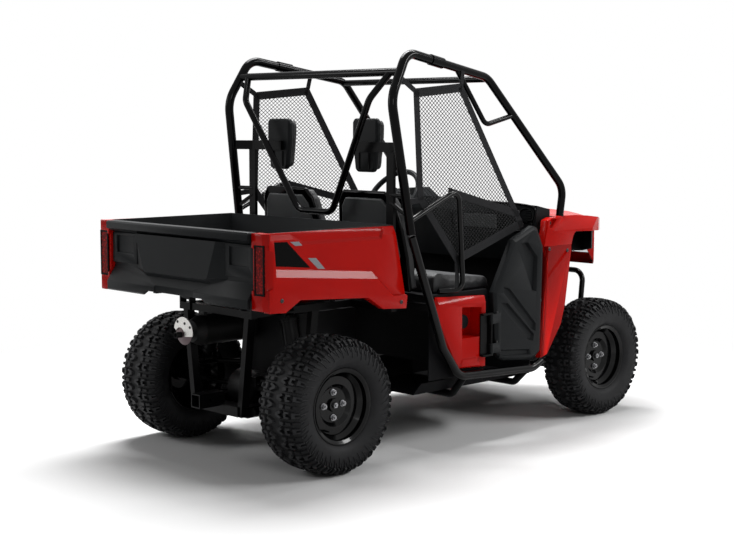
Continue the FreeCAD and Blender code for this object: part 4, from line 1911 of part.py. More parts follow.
def fender():
    """The left front fender over its wheel, open underneath and inboard."""
    base = COWL_SEAM_Z + SEAT_GAP
    low_corner = (COWL_REAR_AHEAD, base)
    high_corner = (FENDER_FRONT_AHEAD, FENDER_TOP_Z)
    side_view = spread(FENDER_SIDE_SHARES, low_corner, high_corner)
    plan = spread(FENDER_PLAN_SHARES, (COWL_REAR_AHEAD, FENDER_INNER_HALF), (FENDER_FRONT_AHEAD, FENDER_HALF))
    section = spread(FENDER_SECTION_SHARES, (FENDER_INNER_HALF, base), (FENDER_HALF, FENDER_TOP_Z))
    low = base - (FENDER_TOP_Z - base)
    outer = slab_xz(side_view, FENDER_INNER_HALF, FENDER_HALF)
    outer = outer.common(slab_xy(plan, low, FENDER_TOP_Z)).common(
        slab_yz(section, COWL_REAR_AHEAD, FENDER_FRONT_AHEAD)
    )
    wall = PANEL_WALL
    drop = V(0, -wall, -wall)
    core_side = slab_xz(side_view, FENDER_INNER_HALF - OVERRUN, FENDER_HALF)
    core = core_side.fuse(core_side.translated(V(0, 0, -OVERRUN))).common(
        slab_xy(plan, low - OVERRUN, FENDER_TOP_Z)
    )
    core = core.common(slab_yz(section, COWL_REAR_AHEAD, FENDER_FRONT_AHEAD)).translated(drop)
    front_trim = box(
        COWL_REAR_AHEAD + wall, FENDER_FRONT_AHEAD - wall, 0, FENDER_HALF - wall, low - OVERRUN,
        FENDER_TOP_Z,
    )
    core = core.common(front_trim)
    shoulder_view = spread(FENDER_SHOULDER_SHARES, low_corner, high_corner)
    shoulder = slab_xz(shoulder_view, FENDER_HALF - FENDER_SHOULDER_DEPTH, FENDER_HALF)
    shell = joined([outer.cut(core), shoulder])
    pocket = spread(FENDER_POCKET_SHARES, low_corner, high_corner)
    drafts = [FENDER_POCKET_DRAFT] * len(pocket)
    shell = shell.cut(frustum_xz(pocket, FENDER_HALF, FENDER_HALF - FENDER_POCKET_DEPTH, drafts))
    shell = shell.cut(pillar(1, SEAT_GAP))
    return max(shell.Solids, key=lambda s: s.Volume)


def fender_liner():
    """The black wall inside the left fender, inboard of the wheel and in front of it."""
    base = COWL_SEAM_Z + SEAT_GAP
    side_view = spread(LINER_SIDE_SHARES, (COWL_REAR_AHEAD, base), (FENDER_FRONT_AHEAD, FENDER_TOP_Z))
    inner = slab_xz(side_view, FENDER_INNER_HALF, FENDER_INNER_HALF + LINER_WALL)
    path = spread(LINER_PLAN_SHARES, (COWL_REAR_AHEAD, FENDER_INNER_HALF), (FENDER_FRONT_AHEAD, FENDER_HALF))
    strip = path + [(x - LINER_WALL, y) for x, y in reversed(path)]
    low = side_view[3][1]
    top = side_view[4][1]
    front = slab_xy(strip, low, top)
    outer_low = base + (FENDER_TOP_Z - base) * LINER_OUTER_LOW_SHARE
    under = low - OVERRUN
    wedge = [
        (FENDER_INNER_HALF, under), (FENDER_INNER_HALF, low), (FENDER_HALF, outer_low),
        (FENDER_HALF, under),
    ]
    return joined([inner, front.cut(slab_yz(wedge, COWL_REAR_AHEAD, FENDER_FRONT_AHEAD))])


def hood_block(wall):
    """The hood and nose as a crowned block, smaller by the wall all round but for its open underside."""
    side_view = spread(HOOD_SIDE_SHARES, (HOOD_REAR_AHEAD, HOOD_LOW_Z), (HOOD_FRONT_AHEAD, HOOD_TOP_Z))
    length = HOOD_FRONT_AHEAD - HOOD_REAR_AHEAD
    plan = [(HOOD_REAR_AHEAD + length * a, HOOD_HALF * b) for a, b in HOOD_PLAN_SHARES]
    height = HOOD_TOP_Z - HOOD_LOW_Z
    crown = [(HOOD_HALF * a, HOOD_TOP_Z + height * b) for a, b in HOOD_CROWN_SHARES]
    if wall:
        under = [-wall] * HOOD_OPEN_EDGES
        side_view = inset(side_view, under + [wall] * (len(side_view) - HOOD_OPEN_EDGES))
        plan = inset(plan, [wall] * len(plan))
        crown = inset(crown, [wall] * len(crown))
    ridge = face_of([V(HOOD_REAR_AHEAD, y, z) for y, z in crown]).extrude(V(length, 0, -HOOD_FALL))
    low = HOOD_LOW_Z - OVERRUN
    return slab_xz(side_view, -HOOD_HALF, HOOD_HALF).common(slab_xy(plan, low, HOOD_TOP_Z)).common(ridge)


def hood():
    """The crowned hood and nose in one hollow moulding, open underneath, with its headlamp windows."""
    shell = hood_block(0).cut(hood_block(HOOD_WALL))
    for side in (1, -1):
        middle = side * HEADLAMP_MIDDLE
        window = box(
            HOOD_FRONT_AHEAD - HEADLAMP_DEPTH, HOOD_FRONT_AHEAD + OVERRUN, middle - HEADLAMP_WIDTH / 2,
            middle + HEADLAMP_WIDTH / 2, HEADLAMP_LOW_Z, HEADLAMP_TOP_Z,
        )
        shell = shell.cut(window)
    return max(shell.Solids, key=lambda s: s.Volume)


def headlamp():
    """The left headlamp in its pocket."""
    gap = SEAT_GAP
    return box(
        HOOD_FRONT_AHEAD - HEADLAMP_DEPTH + gap, HOOD_FRONT_AHEAD - HEADLAMP_SUNK,
        HEADLAMP_MIDDLE - HEADLAMP_WIDTH / 2 + gap, HEADLAMP_MIDDLE + HEADLAMP_WIDTH / 2 - gap,
        HEADLAMP_LOW_Z + gap, HEADLAMP_TOP_Z - gap,
    )


def front_bumper():
    """The round-tube bumper, from the rail ends up in front of the nose."""
    rail_z = GROUND_CLEARANCE + RAIL_HEIGHT / 2
    start = RAIL_FRONT_AHEAD + SEAT_GAP
    path = []
    for side in (-1, 1):
        leg = [
            V(start, side * RAIL_HALF, rail_z),
            V(BUMPER_AHEAD - BUMPER_TUBE, side * BUMPER_HALF, BUMPER_LOW_Z),
            V(BUMPER_AHEAD, side * BUMPER_HALF, BUMPER_TOP_Z),
        ]
        path.extend(leg if side < 0 else reversed(leg))
    loop = tube(path, BUMPER_TUBE, BUMPER_TUBE * 2)
    cross = cylinder(
        BUMPER_TUBE / 2, V(BUMPER_AHEAD - BUMPER_TUBE, -BUMPER_HALF, BUMPER_LOW_Z),
        V(BUMPER_AHEAD - BUMPER_TUBE, BUMPER_HALF, BUMPER_LOW_Z),
    )
    rails = box(RAIL_FRONT_AHEAD - BUMPER_TUBE, start, -BUMPER_HALF, BUMPER_HALF, 0, BUMPER_LOW_Z)
    return joined([loop, cross]).cut(rails)


def skid_plate():
    """The belly plate under the rails, turned up at the nose."""
    low = GROUND_CLEARANCE - SEAT_GAP - SKID_THICKNESS
    half = RAIL_HALF + RAIL_WIDTH / 2
    return box(-RAIL_REAR_BEHIND, RAIL_FRONT_AHEAD, -half, half, low, low + SKID_THICKNESS)


def build_body():
    """Doors, outer panels, hood, lamps and bumper."""
    left_door = door()
    save("door_left", left_door)
    save("door_right", mirrored(left_door))
    save("door_hinges", *both_sides(door_bracket()))
    save("side_panels", *both_sides(side_panel()))
    save("filler_caps", *both_sides(filler_cap()))
    save("cowl_sides", *both_sides(cowl_side()))
    save("front_fenders", *both_sides(fender()))
    save("fender_liners", *both_sides(fender_liner()))
    save("hood", hood())
    save("headlamps", *both_sides(headlamp()))
    save("front_bumper", front_bumper())
    save("skid_plate", skid_plate())


def main():
    os.makedirs("parts", exist_ok=True)
    build_wheels()
    build_suspension()
    build_chassis()
    build_cage()
    build_nets()
    build_driveline()
    build_cab()
    build_bed()
    build_body()


main()
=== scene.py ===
"""The looks of a two-seat side by side utility vehicle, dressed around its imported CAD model.

Sizes are in metres in the model's own frame: +X is forward, +Y is left and +Z is up.
"""

import json
import logging
import math
from dataclasses import dataclass, field
from enum import Enum
from typing import Iterable, Sequence

import bmesh
import bpy
from mathutils import Euler, Matrix, Vector

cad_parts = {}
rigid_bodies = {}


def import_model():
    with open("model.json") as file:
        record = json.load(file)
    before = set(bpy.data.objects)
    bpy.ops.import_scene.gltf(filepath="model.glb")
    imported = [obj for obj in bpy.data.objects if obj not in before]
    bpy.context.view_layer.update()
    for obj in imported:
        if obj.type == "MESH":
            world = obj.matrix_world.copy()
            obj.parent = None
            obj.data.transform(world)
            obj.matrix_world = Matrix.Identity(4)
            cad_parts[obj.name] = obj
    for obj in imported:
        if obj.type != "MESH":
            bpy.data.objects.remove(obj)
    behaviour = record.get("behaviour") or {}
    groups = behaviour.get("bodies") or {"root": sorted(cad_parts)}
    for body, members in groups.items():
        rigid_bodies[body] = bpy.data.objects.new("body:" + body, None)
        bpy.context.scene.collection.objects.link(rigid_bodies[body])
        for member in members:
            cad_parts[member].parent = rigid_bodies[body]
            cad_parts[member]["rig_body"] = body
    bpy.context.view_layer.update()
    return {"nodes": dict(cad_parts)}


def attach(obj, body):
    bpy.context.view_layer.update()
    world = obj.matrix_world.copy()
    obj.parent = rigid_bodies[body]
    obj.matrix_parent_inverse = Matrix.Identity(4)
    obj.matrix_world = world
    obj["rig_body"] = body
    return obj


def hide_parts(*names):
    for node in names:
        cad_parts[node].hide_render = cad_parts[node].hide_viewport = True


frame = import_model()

LOG = logging.getLogger("utility_vehicle")

Colour = tuple[float, float, float]
Point = tuple[float, float, float]
Flat = tuple[float, float]
Shape = bmesh.types.BMesh
Piece = bpy.types.Object
Socket = bpy.types.NodeSocket

AXLE_TO_ORIGIN = 0.8955
AXLE_HEIGHT = 0.3
WHEELBASE = 1.854
TYRE_OVER_RIM = 0.042
RIM_LIP_ROLL = 0.0035
# Each axle's name, its distance ahead of the rear one, its wheels' distance out, and their tyres' width.
AXLES = (("rear", 0.0, 0.507, 0.254), ("front", WHEELBASE, 0.522, 0.203))

# Vertices nearer to each other than WELD are one, and a length under TINY is nothing.
WELD = 0.00002
TINY = 1e-6
# The part of its range from 0 to 1 that nearly all of a noise lies in.
SPREAD = (0.3, 0.7)


def ahead(distance: float) -> float:
    """The frame's x of a place that is measured ahead of the rear axle."""
    return distance - AXLE_TO_ORIGIN


class Slot(Enum):
    """The record's material slots."""

    TYRE = "tyre"
    BLACK_METAL = "black_metal"
    RED = "red_plastic"
    BLACK_PLASTIC = "black_plastic"
    DARK_PLASTIC = "dark_plastic"
    LENS_RED = "lens_red"
    LENS_CLEAR = "lens_clear"
    VINYL = "vinyl"
    MESH = "mesh"
    STEEL = "steel"
    CAST = "cast"


class Side(Enum):
    """The two sides of the vehicle, each with the sign of its y."""

    LEFT = 1
    RIGHT = -1

    @property
    def label(self) -> str:
        """The side's name in small letters."""
        return self.name.lower()


class Shader:
    """A surface whose node tree is built up step by step."""

    # The places of the mix node's two colour inputs and of its colour output.
    FIRST, SECOND, MIXED = 6, 7, 2

    def __init__(self, name: str) -> None:
        """Starts with a plain surface and the object's own coordinates."""
        self.material = bpy.data.materials.new(name)
        self.material.use_nodes = True
        self.tree = self.material.node_tree
        self.surface = self.tree.nodes["Principled BSDF"]
        self.place = self.node("ShaderNodeTexCoord").outputs["Object"]

    def node(self, kind: str, **settings: object) -> bpy.types.Node:
        """Adds a node and sets its plain properties."""
        made = self.tree.nodes.new(kind)
        for key, value in settings.items():
            setattr(made, key, value)
        return made

    def link(self, source: Socket, target: Socket) -> None:
        """Joins two sockets."""
        self.tree.links.new(source, target)

    def wire(self, node: bpy.types.Node, **sockets: object) -> bpy.types.Node:
        """Sets or links a node's inputs by name, with spaces written as underscores."""
        for key, value in sockets.items():
            target = node.inputs[key.replace("_", " ")]
            if isinstance(value, Socket):
                self.link(value, target)
            else:
                target.default_value = value
        return node

    def noise(
        self, scale: float, detail: float = 4.0, rough: float = 0.55, stretch: Point = (1, 1, 1),
    ) -> Socket:
        """Cloudy noise over the object.

        Args:
            scale: patches per metre.
            detail: octaves of finer noise.
            rough: how strong the finer octaves are.
            stretch: how much denser the noise is along each axis.

        Returns:
            The noise value, from 0 to 1.
        """
        place = self.place
        if stretch != (1, 1, 1):
            mapping = self.wire(self.node("ShaderNodeMapping"), Vector=self.place, Scale=stretch)
            place = mapping.outputs["Vector"]
        made = self.wire(
            self.node("ShaderNodeTexNoise"), Vector=place, Scale=scale, Detail=detail, Roughness=rough,
        )
        return made.outputs["Fac"]

    def cells(self, scale: float, feature: str = "F1") -> Socket:
        """The distance to the nearest of scattered points."""
        made = self.node("ShaderNodeTexVoronoi", feature=feature)
        return self.wire(made, Vector=self.place, Scale=scale).outputs["Distance"]

    def range(self, value: Socket, low: float, high: float, start: float = 0.0, end: float = 1.0) -> Socket:
        """Maps a value from start and end to low and high."""
        made = self.node("ShaderNodeMapRange")
        self.wire(made, Value=value, From_Min=start, From_Max=end, To_Min=low, To_Max=high)
        return made.outputs["Result"]

    def maths(self, operation: str, *values: object) -> Socket:
        """The result of a sum on sockets or numbers."""
        made = self.node("ShaderNodeMath", operation=operation)
        for socket, value in zip(made.inputs, values):
            if isinstance(value, Socket):
                self.link(value, socket)
            else:
                socket.default_value = value
        return made.outputs["Value"]

    def mix(self, share: Socket, first: object, second: object) -> Socket:
        """A colour between two others."""
        made = self.node("ShaderNodeMix", data_type="RGBA")
        self.link(share, made.inputs["Factor"])
        for value, socket in ((first, made.inputs[self.FIRST]), (second, made.inputs[self.SECOND])):
            if isinstance(value, Socket):
                self.link(value, socket)
            else:
                socket.default_value = (*value, 1.0)
        return made.outputs[self.MIXED]

    def bump(self, height: Socket, depth: float, below: Socket | None = None) -> Socket:
        """A bumped normal.

        Args:
            height: the height map, from 0 to 1.
            depth: what 1 stands for, in metres.
            below: another bumped normal that this one lies on.

        Returns:
            The normal.
        """
        made = self.wire(self.node("ShaderNodeBump"), Height=height, Distance=depth, Strength=1.0)
        if below is not None:
            self.link(below, made.inputs["Normal"])
        return made.outputs["Normal"]

    def finish(self, **sockets: object) -> bpy.types.Material:
        """Sets the surface's own sockets and returns the material."""
        self.wire(self.surface, **sockets)
        return self.material


@dataclass(frozen=True)
class Finish:
    """A painted, moulded or cast surface with clouding, grain and its own gloss."""

    name: str
    slot: Slot
    colour: Colour
    shade: Colour
    roughness: float = 0.5
    swing: float = 0.06
    metallic: float = 0.0
    coat: float = 0.0
    coat_roughness: float = 0.08
    cloud: float = 5.0
    grain: float = 900.0
    grain_depth: float = 0.0
    wave: float = 0.0
    stretch: Point = (1, 1, 1)
    specular: float = 0.5
    waves: float = 22.0

    def build(self) -> bpy.types.Material:
        """Makes the material."""
        shader = Shader(self.name)
        clouds = shader.noise(self.cloud, 3.0)
        tint = shader.mix(shader.range(clouds, 0.0, 1.0, *SPREAD), self.colour, self.shade)
        fine = shader.noise(self.grain, 3.0, 0.6, self.stretch)
        rough = shader.range(fine, self.roughness - self.swing, self.roughness + self.swing, *SPREAD)
        normal = None
        if self.wave:
            normal = shader.bump(shader.noise(self.waves, 1.0), self.wave)
        if self.grain_depth:
            normal = shader.bump(fine, self.grain_depth, normal)
        if normal is not None:
            shader.link(normal, shader.surface.inputs["Normal"])
        return shader.finish(
            Base_Color=tint, Roughness=rough, Metallic=self.metallic, Coat_Weight=self.coat,
            Coat_Roughness=self.coat_roughness, Specular_IOR_Level=self.specular,
        )


@dataclass(frozen=True)
class Rubber(Finish):
    """Moulded tyre rubber with pores, soft waves and blotches of another shade."""

    waves: float = 60.0
    blotches: float = 14.0

    def build(self) -> bpy.types.Material:
        """Makes the material."""
        shader = Shader(self.name)
        blotch = shader.range(shader.noise(self.blotches, 5.0, 0.65), 0.0, 1.0, 0.35, 0.7)
        pores = shader.noise(self.grain, 4.0, 0.7)
        tint = shader.mix(blotch, self.colour, self.shade)
        rough = shader.range(pores, self.roughness - self.swing, self.roughness + self.swing, *SPREAD)
        normal = shader.bump(pores, self.grain_depth, shader.bump(shader.noise(self.waves, 2.0), self.wave))
        shader.link(normal, shader.surface.inputs["Normal"])
        return shader.finish(Base_Color=tint, Roughness=rough, Specular_IOR_Level=self.specular)


@dataclass(frozen=True)
class Webbing(Finish):
    """Woven strap or cord, whose yarns cross at a fixed spacing."""

    yarn: float = 900.0
    slant: float = 0.785

    def build(self) -> bpy.types.Material:
        """Makes the material."""
        shader = Shader(self.name)
        waves = []
        for turn in (self.slant, -self.slant):
            mapping = shader.wire(
                shader.node("ShaderNodeMapping"), Vector=shader.place, Rotation=(0.0, turn, 0.0),
            )
            wave = shader.node("ShaderNodeTexWave", bands_direction="X")
            shader.wire(
                wave, Vector=mapping.outputs["Vector"], Scale=self.yarn / 20, Distortion=0.6, Detail=1.0,
            )
            waves.append(wave.outputs["Fac"])
        weave = shader.maths("MULTIPLY", *waves)
        tint = shader.mix(weave, self.shade, self.colour)
        shader.link(shader.bump(weave, self.grain_depth), shader.surface.inputs["Normal"])
        fuzz = shader.range(shader.noise(40.0), self.roughness - self.swing, self.roughness + self.swing)
        return shader.finish(
            Base_Color=tint, Roughness=fuzz, Sheen_Weight=0.05, Sheen_Roughness=0.5, Specular_IOR_Level=0.1
        )


@dataclass(frozen=True)
class Vinyl(Finish):
    """Seat covering with a pebbled leather grain."""

    waves: float = 35.0

    def build(self) -> bpy.types.Material:
        """Makes the material."""
        shader = Shader(self.name)
        pebbles = shader.range(shader.cells(self.grain, "SMOOTH_F1"), 1.0, 0.0, 0.1, 0.7)
        tint = shader.mix(shader.noise(self.cloud, 4.0), self.colour, self.shade)
        normal = shader.bump(pebbles, self.grain_depth, shader.bump(shader.noise(self.waves), self.wave))
        shader.link(normal, shader.surface.inputs["Normal"])
        rough = shader.range(pebbles, self.roughness + self.swing, self.roughness - self.swing)
        return shader.finish(Base_Color=tint, Roughness=rough, Specular_IOR_Level=self.specular)


@dataclass(frozen=True)
class Lens(Finish):
    """Red lamp glass over rows of small prisms, each painted bright at its middle as a painted glint."""

    prism: float = 95.0
    contrast: float = 2.2

    def build(self) -> bpy.types.Material:
        """Makes the material."""
        shader = Shader(self.name)
        prisms = shader.range(shader.cells(self.prism), 1.0, 0.0, 0.0, 0.75)
        # The prisms' middles are painted bright red and their edges dark: painted glints of light in the
        # glass.
        painted_glint = shader.maths("POWER", prisms, self.contrast)
        tint = shader.mix(painted_glint, self.shade, self.colour)
        shader.link(shader.bump(prisms, self.grain_depth), shader.surface.inputs["Normal"])
        rough = shader.range(prisms, self.roughness + self.swing, self.roughness)
        return shader.finish(
            Base_Color=tint, Roughness=rough, Coat_Weight=0.05, Coat_Roughness=0.04, Specular_IOR_Level=0.04
        )


@dataclass(frozen=True)
class Glass(Finish):
    """Clear moulded lamp glass."""

    def build(self) -> bpy.types.Material:
        """Makes the material."""
        shader = Shader(self.name)
        flutes = shader.noise(self.cloud, 1.0, 0.5, (0.2, 1.0, 0.2))
        shader.link(shader.bump(flutes, self.wave), shader.surface.inputs["Normal"])
        tint = shader.mix(flutes, self.colour, self.shade)
        rough = shader.range(flutes, self.roughness, self.roughness + self.swing)
        return shader.finish(Base_Color=tint, Roughness=rough, Transmission_Weight=0.85, IOR=1.45)


RED = Finish(
    "red_bodywork", Slot.RED, (0.345, 0.0028, 0.001), (0.31, 0.0024, 0.001), 0.24, 0.02, coat=0.10,
    coat_roughness=0.05, grain=700, wave=0.0001, specular=0.03,
)
MOULDED = Finish(
    "moulded_black_plastic", Slot.BLACK_PLASTIC, (0.0062, 0.0070, 0.0077), (0.0046, 0.0053, 0.0059), 0.44,
    0.06, grain=1400, grain_depth=0.00012, specular=0.08,
)
# Darker black for the floor pan, seat base and fender liners: painted shade for the shadow under the body.
SHADED = Finish(
    "dark_lining_plastic", Slot.DARK_PLASTIC, (0.0025, 0.0025, 0.003), (0.0015, 0.0015, 0.002), 0.58, 0.06,
    grain=1100, grain_depth=0.00014, specular=0.06,
)
SHELL = Finish(
    "grey_seat_shell", Slot.BLACK_PLASTIC, (0.060, 0.063, 0.064), (0.048, 0.051, 0.053), 0.48, 0.05,
    grain=1300, grain_depth=0.00012, specular=0.3,
)
GLOSS = Finish(
    "gloss_black_tube", Slot.BLACK_METAL, (0.0009, 0.0009, 0.0011), (0.0006, 0.0006, 0.0008), 0.16, 0.03,
    coat=0.09, coat_roughness=0.09, grain=500, wave=0.0001, specular=0.04,
)
POLISHED = Finish(
    "polished_black_tube", Slot.BLACK_METAL, (0.0012, 0.0012, 0.0014), (0.0008, 0.0008, 0.001), 0.12, 0.03,
    coat=0.16, coat_roughness=0.05, grain=500, wave=0.0001, specular=0.08,
)
FRAME = Finish(
    "satin_black_frame", Slot.BLACK_METAL, (0.0025, 0.0025, 0.0028), (0.0016, 0.0016, 0.0018), 0.32, 0.06,
    coat=0.03, coat_roughness=0.15, grain=650, grain_depth=0.00006, specular=0.06,
)
WHEEL = Finish(
    "black_wheel_paint", Slot.BLACK_METAL, (0.0014, 0.0014, 0.0016), (0.0009, 0.0009, 0.0011), 0.18, 0.04,
    coat=0.22, coat_roughness=0.07, grain=600, grain_depth=0.00004, specular=0.05,
)
BOLT = Finish(
    "zinc_bolt", Slot.STEEL, (0.34, 0.34, 0.35), (0.24, 0.24, 0.25), 0.36, 0.08, metallic=1.0, grain=1500,
    grain_depth=0.00004,
)
DARK_BOLT = Finish(
    "black_bolt", Slot.BLACK_METAL, (0.010, 0.010, 0.011), (0.006, 0.006, 0.007), 0.34, 0.06, metallic=0.2,
    grain=1500, grain_depth=0.00004,
)
SHIELD = Finish(
    "brushed_shield", Slot.STEEL, (0.62, 0.61, 0.59), (0.50, 0.49, 0.47), 0.30, 0.08, metallic=1.0,
    grain=400, grain_depth=0.00005, stretch=(0.15, 1.0, 3.0),
)
MUFFLER = Finish(
    "heat_tinted_steel", Slot.STEEL, (0.010, 0.010, 0.010), (0.006, 0.006, 0.006), 0.50, 0.08, metallic=0.2,
    grain=500, grain_depth=0.00006, specular=0.15,
)
PINK_STEEL = Finish(
    "heat_blued_steel", Slot.STEEL, (0.12, 0.085, 0.085), (0.07, 0.05, 0.055), 0.42, 0.08, metallic=0.8,
    grain=500, grain_depth=0.00006,
)
CAST = Finish(
    "cast_metal", Slot.CAST, (0.006, 0.006, 0.0065), (0.003, 0.003, 0.0035), 0.42, 0.08, metallic=0.1,
    cloud=12, grain=1000, grain_depth=0.0003, specular=0.12,
)
PATCH = Finish(
    "black_patch", Slot.BLACK_PLASTIC, (0.002, 0.002, 0.002), (0.001, 0.001, 0.001), 0.25, 0.03, coat=0.02,
    grain=700, specular=0.03,
)
STRIPE = Finish(
    "grey_stripe", Slot.STEEL, (0.22, 0.225, 0.24), (0.19, 0.195, 0.21), 0.32, 0.03, coat=0.05, grain=700,
    specular=0.1,
)
RUBBER = Rubber(
    "tyre_rubber", Slot.TYRE, (0.0045, 0.0046, 0.0052), (0.0090, 0.0091, 0.0100), 0.60, 0.08, grain=700,
    grain_depth=0.00025, wave=0.0004, specular=0.16,
)
# Paler rubber on the lug tops: a painted highlight of the light that falls on them.
LUG_TOP_HIGHLIGHT = Rubber(
    "worn_lug_rubber", Slot.TYRE, (0.020, 0.0205, 0.022), (0.012, 0.0122, 0.013), 0.62, 0.08, grain=700,
    grain_depth=0.00025, wave=0.0002, specular=0.2,
)
NET = Webbing(
    "net_cord", Slot.MESH, (0.012, 0.012, 0.013), (0.006, 0.006, 0.006), 0.75, 0.08, grain_depth=0.0004,
    yarn=2400,
)
STRAP = Webbing(
    "webbing_strap", Slot.MESH, (0.012, 0.0125, 0.0135), (0.006, 0.006, 0.007), 0.78, 0.06,
    grain_depth=0.0005, yarn=1600,
)
VINYL = Vinyl(
    "seat_vinyl", Slot.VINYL, (0.0075, 0.0078, 0.0085), (0.005, 0.005, 0.006), 0.50, 0.08, cloud=8,
    grain=420, grain_depth=0.0004, wave=0.0006, specular=0.3,
)
# Paler vinyl on the faces of the cushions that look up: painted light from above.
SEAT_TOP_LIT = Vinyl(
    "seat_top_vinyl", Slot.VINYL, (0.036, 0.037, 0.039), (0.028, 0.029, 0.031), 0.58, 0.06, cloud=8,
    grain=380, grain_depth=0.0005, wave=0.0006, specular=0.3,
)
# Bright red for the painted glints in the lamp glass and dark red between them.
RED_LENS = Lens(
    "tail_lamp_glass", Slot.LENS_RED, (0.52, 0.006, 0.004), (0.09, 0.001, 0.0008), 0.12, 0.10,
    grain_depth=0.0002,
)
CLEAR_LENS = Glass(
    "headlamp_glass", Slot.LENS_CLEAR, (0.92, 0.94, 0.96), (0.80, 0.82, 0.85), 0.04, 0.05, cloud=60,
    wave=0.001,
)

MADE: dict[str, bpy.types.Material] = {}


def material(finish: Finish) -> bpy.types.Material:
    """The finish's material, made the first time it is asked for."""
    if finish.name not in MADE:
        MADE[finish.name] = finish.build()
    return MADE[finish.name]


def dress_node(name: str, finish: Finish) -> None:
    """Gives a shown CAD node a finish, with nothing of its mesh changed."""
    node = frame["nodes"][name]
    node.data.materials.clear()
    node.data.materials.append(material(finish))


def body_of_node(name: str) -> str:
    """The body that carries a CAD node."""
    return frame["nodes"][name]["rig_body"]


def as_mesh(obj: Piece) -> Piece:
    """Turns an object with its modifiers into a plain mesh object.

    Args:
        obj: the object, which is removed.

    Returns:
        The plain mesh object, of the same name.
    """
    bpy.context.view_layer.update()
    graph = bpy.context.evaluated_depsgraph_get()
    mesh = bpy.data.meshes.new_from_object(obj.evaluated_get(graph), depsgraph=graph)
    label = obj.name
    materials = [slot.material for slot in obj.material_slots]
    obj.name = label + "_raw"
    bpy.data.objects.remove(obj)
    made = bpy.data.objects.new(label, mesh)
    made.name = label
    mesh.name = label
    if not mesh.materials:
        for item in materials:
            mesh.materials.append(item)
    bpy.context.scene.collection.objects.link(made)
    return made


def shade(data: bpy.types.Mesh, angle: float) -> None:
    """Shades a mesh smooth, but for edges that turn more than an angle in degrees."""
    data.shade_smooth()
    data.set_sharp_from_angle(angle=math.radians(angle))


def mesh_object(name: str, mesh: Shape, finish: Finish, smooth: float = 30.0) -> Piece:
    """A new object from a bmesh, which is freed.

    Args:
        name: the piece's name.
        mesh: its shape, in frame coordinates.
        finish: its finish.
        smooth: edges that turn less than this, in degrees, are shaded smooth.

    Returns:
        The object, linked to the scene.
    """
    data = bpy.data.meshes.new(name)
    mesh.to_mesh(data)
    mesh.free()
    data.materials.append(material(finish))
    shade(data, smooth)
    made = bpy.data.objects.new(name, data)
    bpy.context.scene.collection.objects.link(made)
    return made


def add_modifier(obj: Piece, kind: str, **settings: object) -> bpy.types.Modifier:
    """Adds a modifier and sets its properties."""
    made = obj.modifiers.new(kind.lower(), kind)
    for key, value in settings.items():
        setattr(made, key, value)
    return made


def place(obj: Piece, body: str, slot: Slot, *replaced: str) -> Piece:
    """Lets a finished piece ride on its body.

    Args:
        obj: the piece.
        body: the CAD body that it moves with.
        slot: the record's slot that it takes its finish from; not used.
        replaced: CAD nodes that it stands for.

    Returns:
        The piece.
    """
    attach(obj, body)
    if replaced:
        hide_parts(*replaced)
    LOG.info("%s rides on %s, %d faces", obj.name, body, len(obj.data.polygons))
    return obj


def soften(node: str, finish: Finish, width: float, angle: float = 9.0, flat: float = 0.6) -> Piece:
    """A copy of a CAD node whose sharp edges are rounded, as a moulding's are.

    Args:
        node: the CAD node that the copy stands for.
        finish: the copy's finish.
        width: how far the rounding reaches from each edge.
        angle: edges that turn more than this, in degrees, are rounded.
        flat: faces that turn less than this, in degrees, are joined first.

    Returns:
        The piece.
    """
    mesh = bmesh.new()
    mesh.from_mesh(frame["nodes"][node].data)
    bmesh.ops.remove_doubles(mesh, verts=mesh.verts, dist=WELD)
    bmesh.ops.dissolve_limit(
        mesh, angle_limit=math.radians(flat), verts=mesh.verts, edges=mesh.edges, delimit={"NORMAL"}
    )
    made = mesh_object(node + "_moulding", mesh, finish)
    add_modifier(
        made, "BEVEL", width=width, segments=2, limit_method="ANGLE", angle_limit=math.radians(angle),
        miter_outer="MITER_ARC", harden_normals=False,
    )
    add_modifier(made, "WEIGHTED_NORMAL", keep_sharp=True)
    made = as_mesh(made)
    shade(made.data, 40.0)
    return place(made, body_of_node(node), finish.slot, node)


def prism(outline: Sequence[Flat], low: float, high: float, axis: str = "y") -> Shape:
    """A plate cut to a flat outline.

    Args:
        outline: points in the plane across the axis, as (x, z), (y, z) or (x, y).
        low: where the plate starts along the axis.
        high: where it ends.
        axis: the axis it is thick along, "x", "y" or "z".

    Returns:
        The plate, with its faces outwards.
    """
    orders = {"x": lambda a, b, c: (c, a, b), "y": lambda a, b, c: (a, c, b), "z": lambda a, b, c: (a, b, c)}
    order = orders[axis]
    mesh = bmesh.new()
    rings = [[mesh.verts.new(order(a, b, c)) for a, b in outline] for c in (low, high)]
    mesh.faces.new(rings[0])
    mesh.faces.new(list(reversed(rings[1])))
    count = len(outline)
    for index in range(count):
        after = (index + 1) % count
        mesh.faces.new((rings[0][index], rings[1][index], rings[1][after], rings[0][after]))
    bmesh.ops.recalc_face_normals(mesh, faces=mesh.faces)
    return mesh


def box(low: Point, high: Point) -> Shape:
    """A block between two corners."""
    outline = [(low[0], low[1]), (high[0], low[1]), (high[0], high[1]), (low[0], high[1])]
    return prism(outline, low[2], high[2], "z")


def join_rings(mesh: Shape, rings: Sequence[Sequence[bmesh.types.BMVert]]) -> None:
    """Walls between each two rings of the same count of vertices."""
    for lower, upper in zip(rings, rings[1:]):
        for i in range(len(lower)):
            j = (i + 1) % len(lower)
            mesh.faces.new((lower[i], lower[j], upper[j], upper[i]))


def merge(meshes: Iterable[Shape]) -> Shape:
    """Several bmeshes as one; each is freed."""
    whole = bmesh.new()
    for mesh in meshes:
        data = bpy.data.meshes.new("part")
        mesh.to_mesh(data)
        mesh.free()
        whole.from_mesh(data)
        bpy.data.meshes.remove(data)
    return whole


def bmesh_of(obj: Piece) -> Shape:
    """An object's mesh as a bmesh; the object is removed."""
    mesh = bmesh.new()
    mesh.from_mesh(obj.data)
    bpy.data.objects.remove(obj)
    return mesh


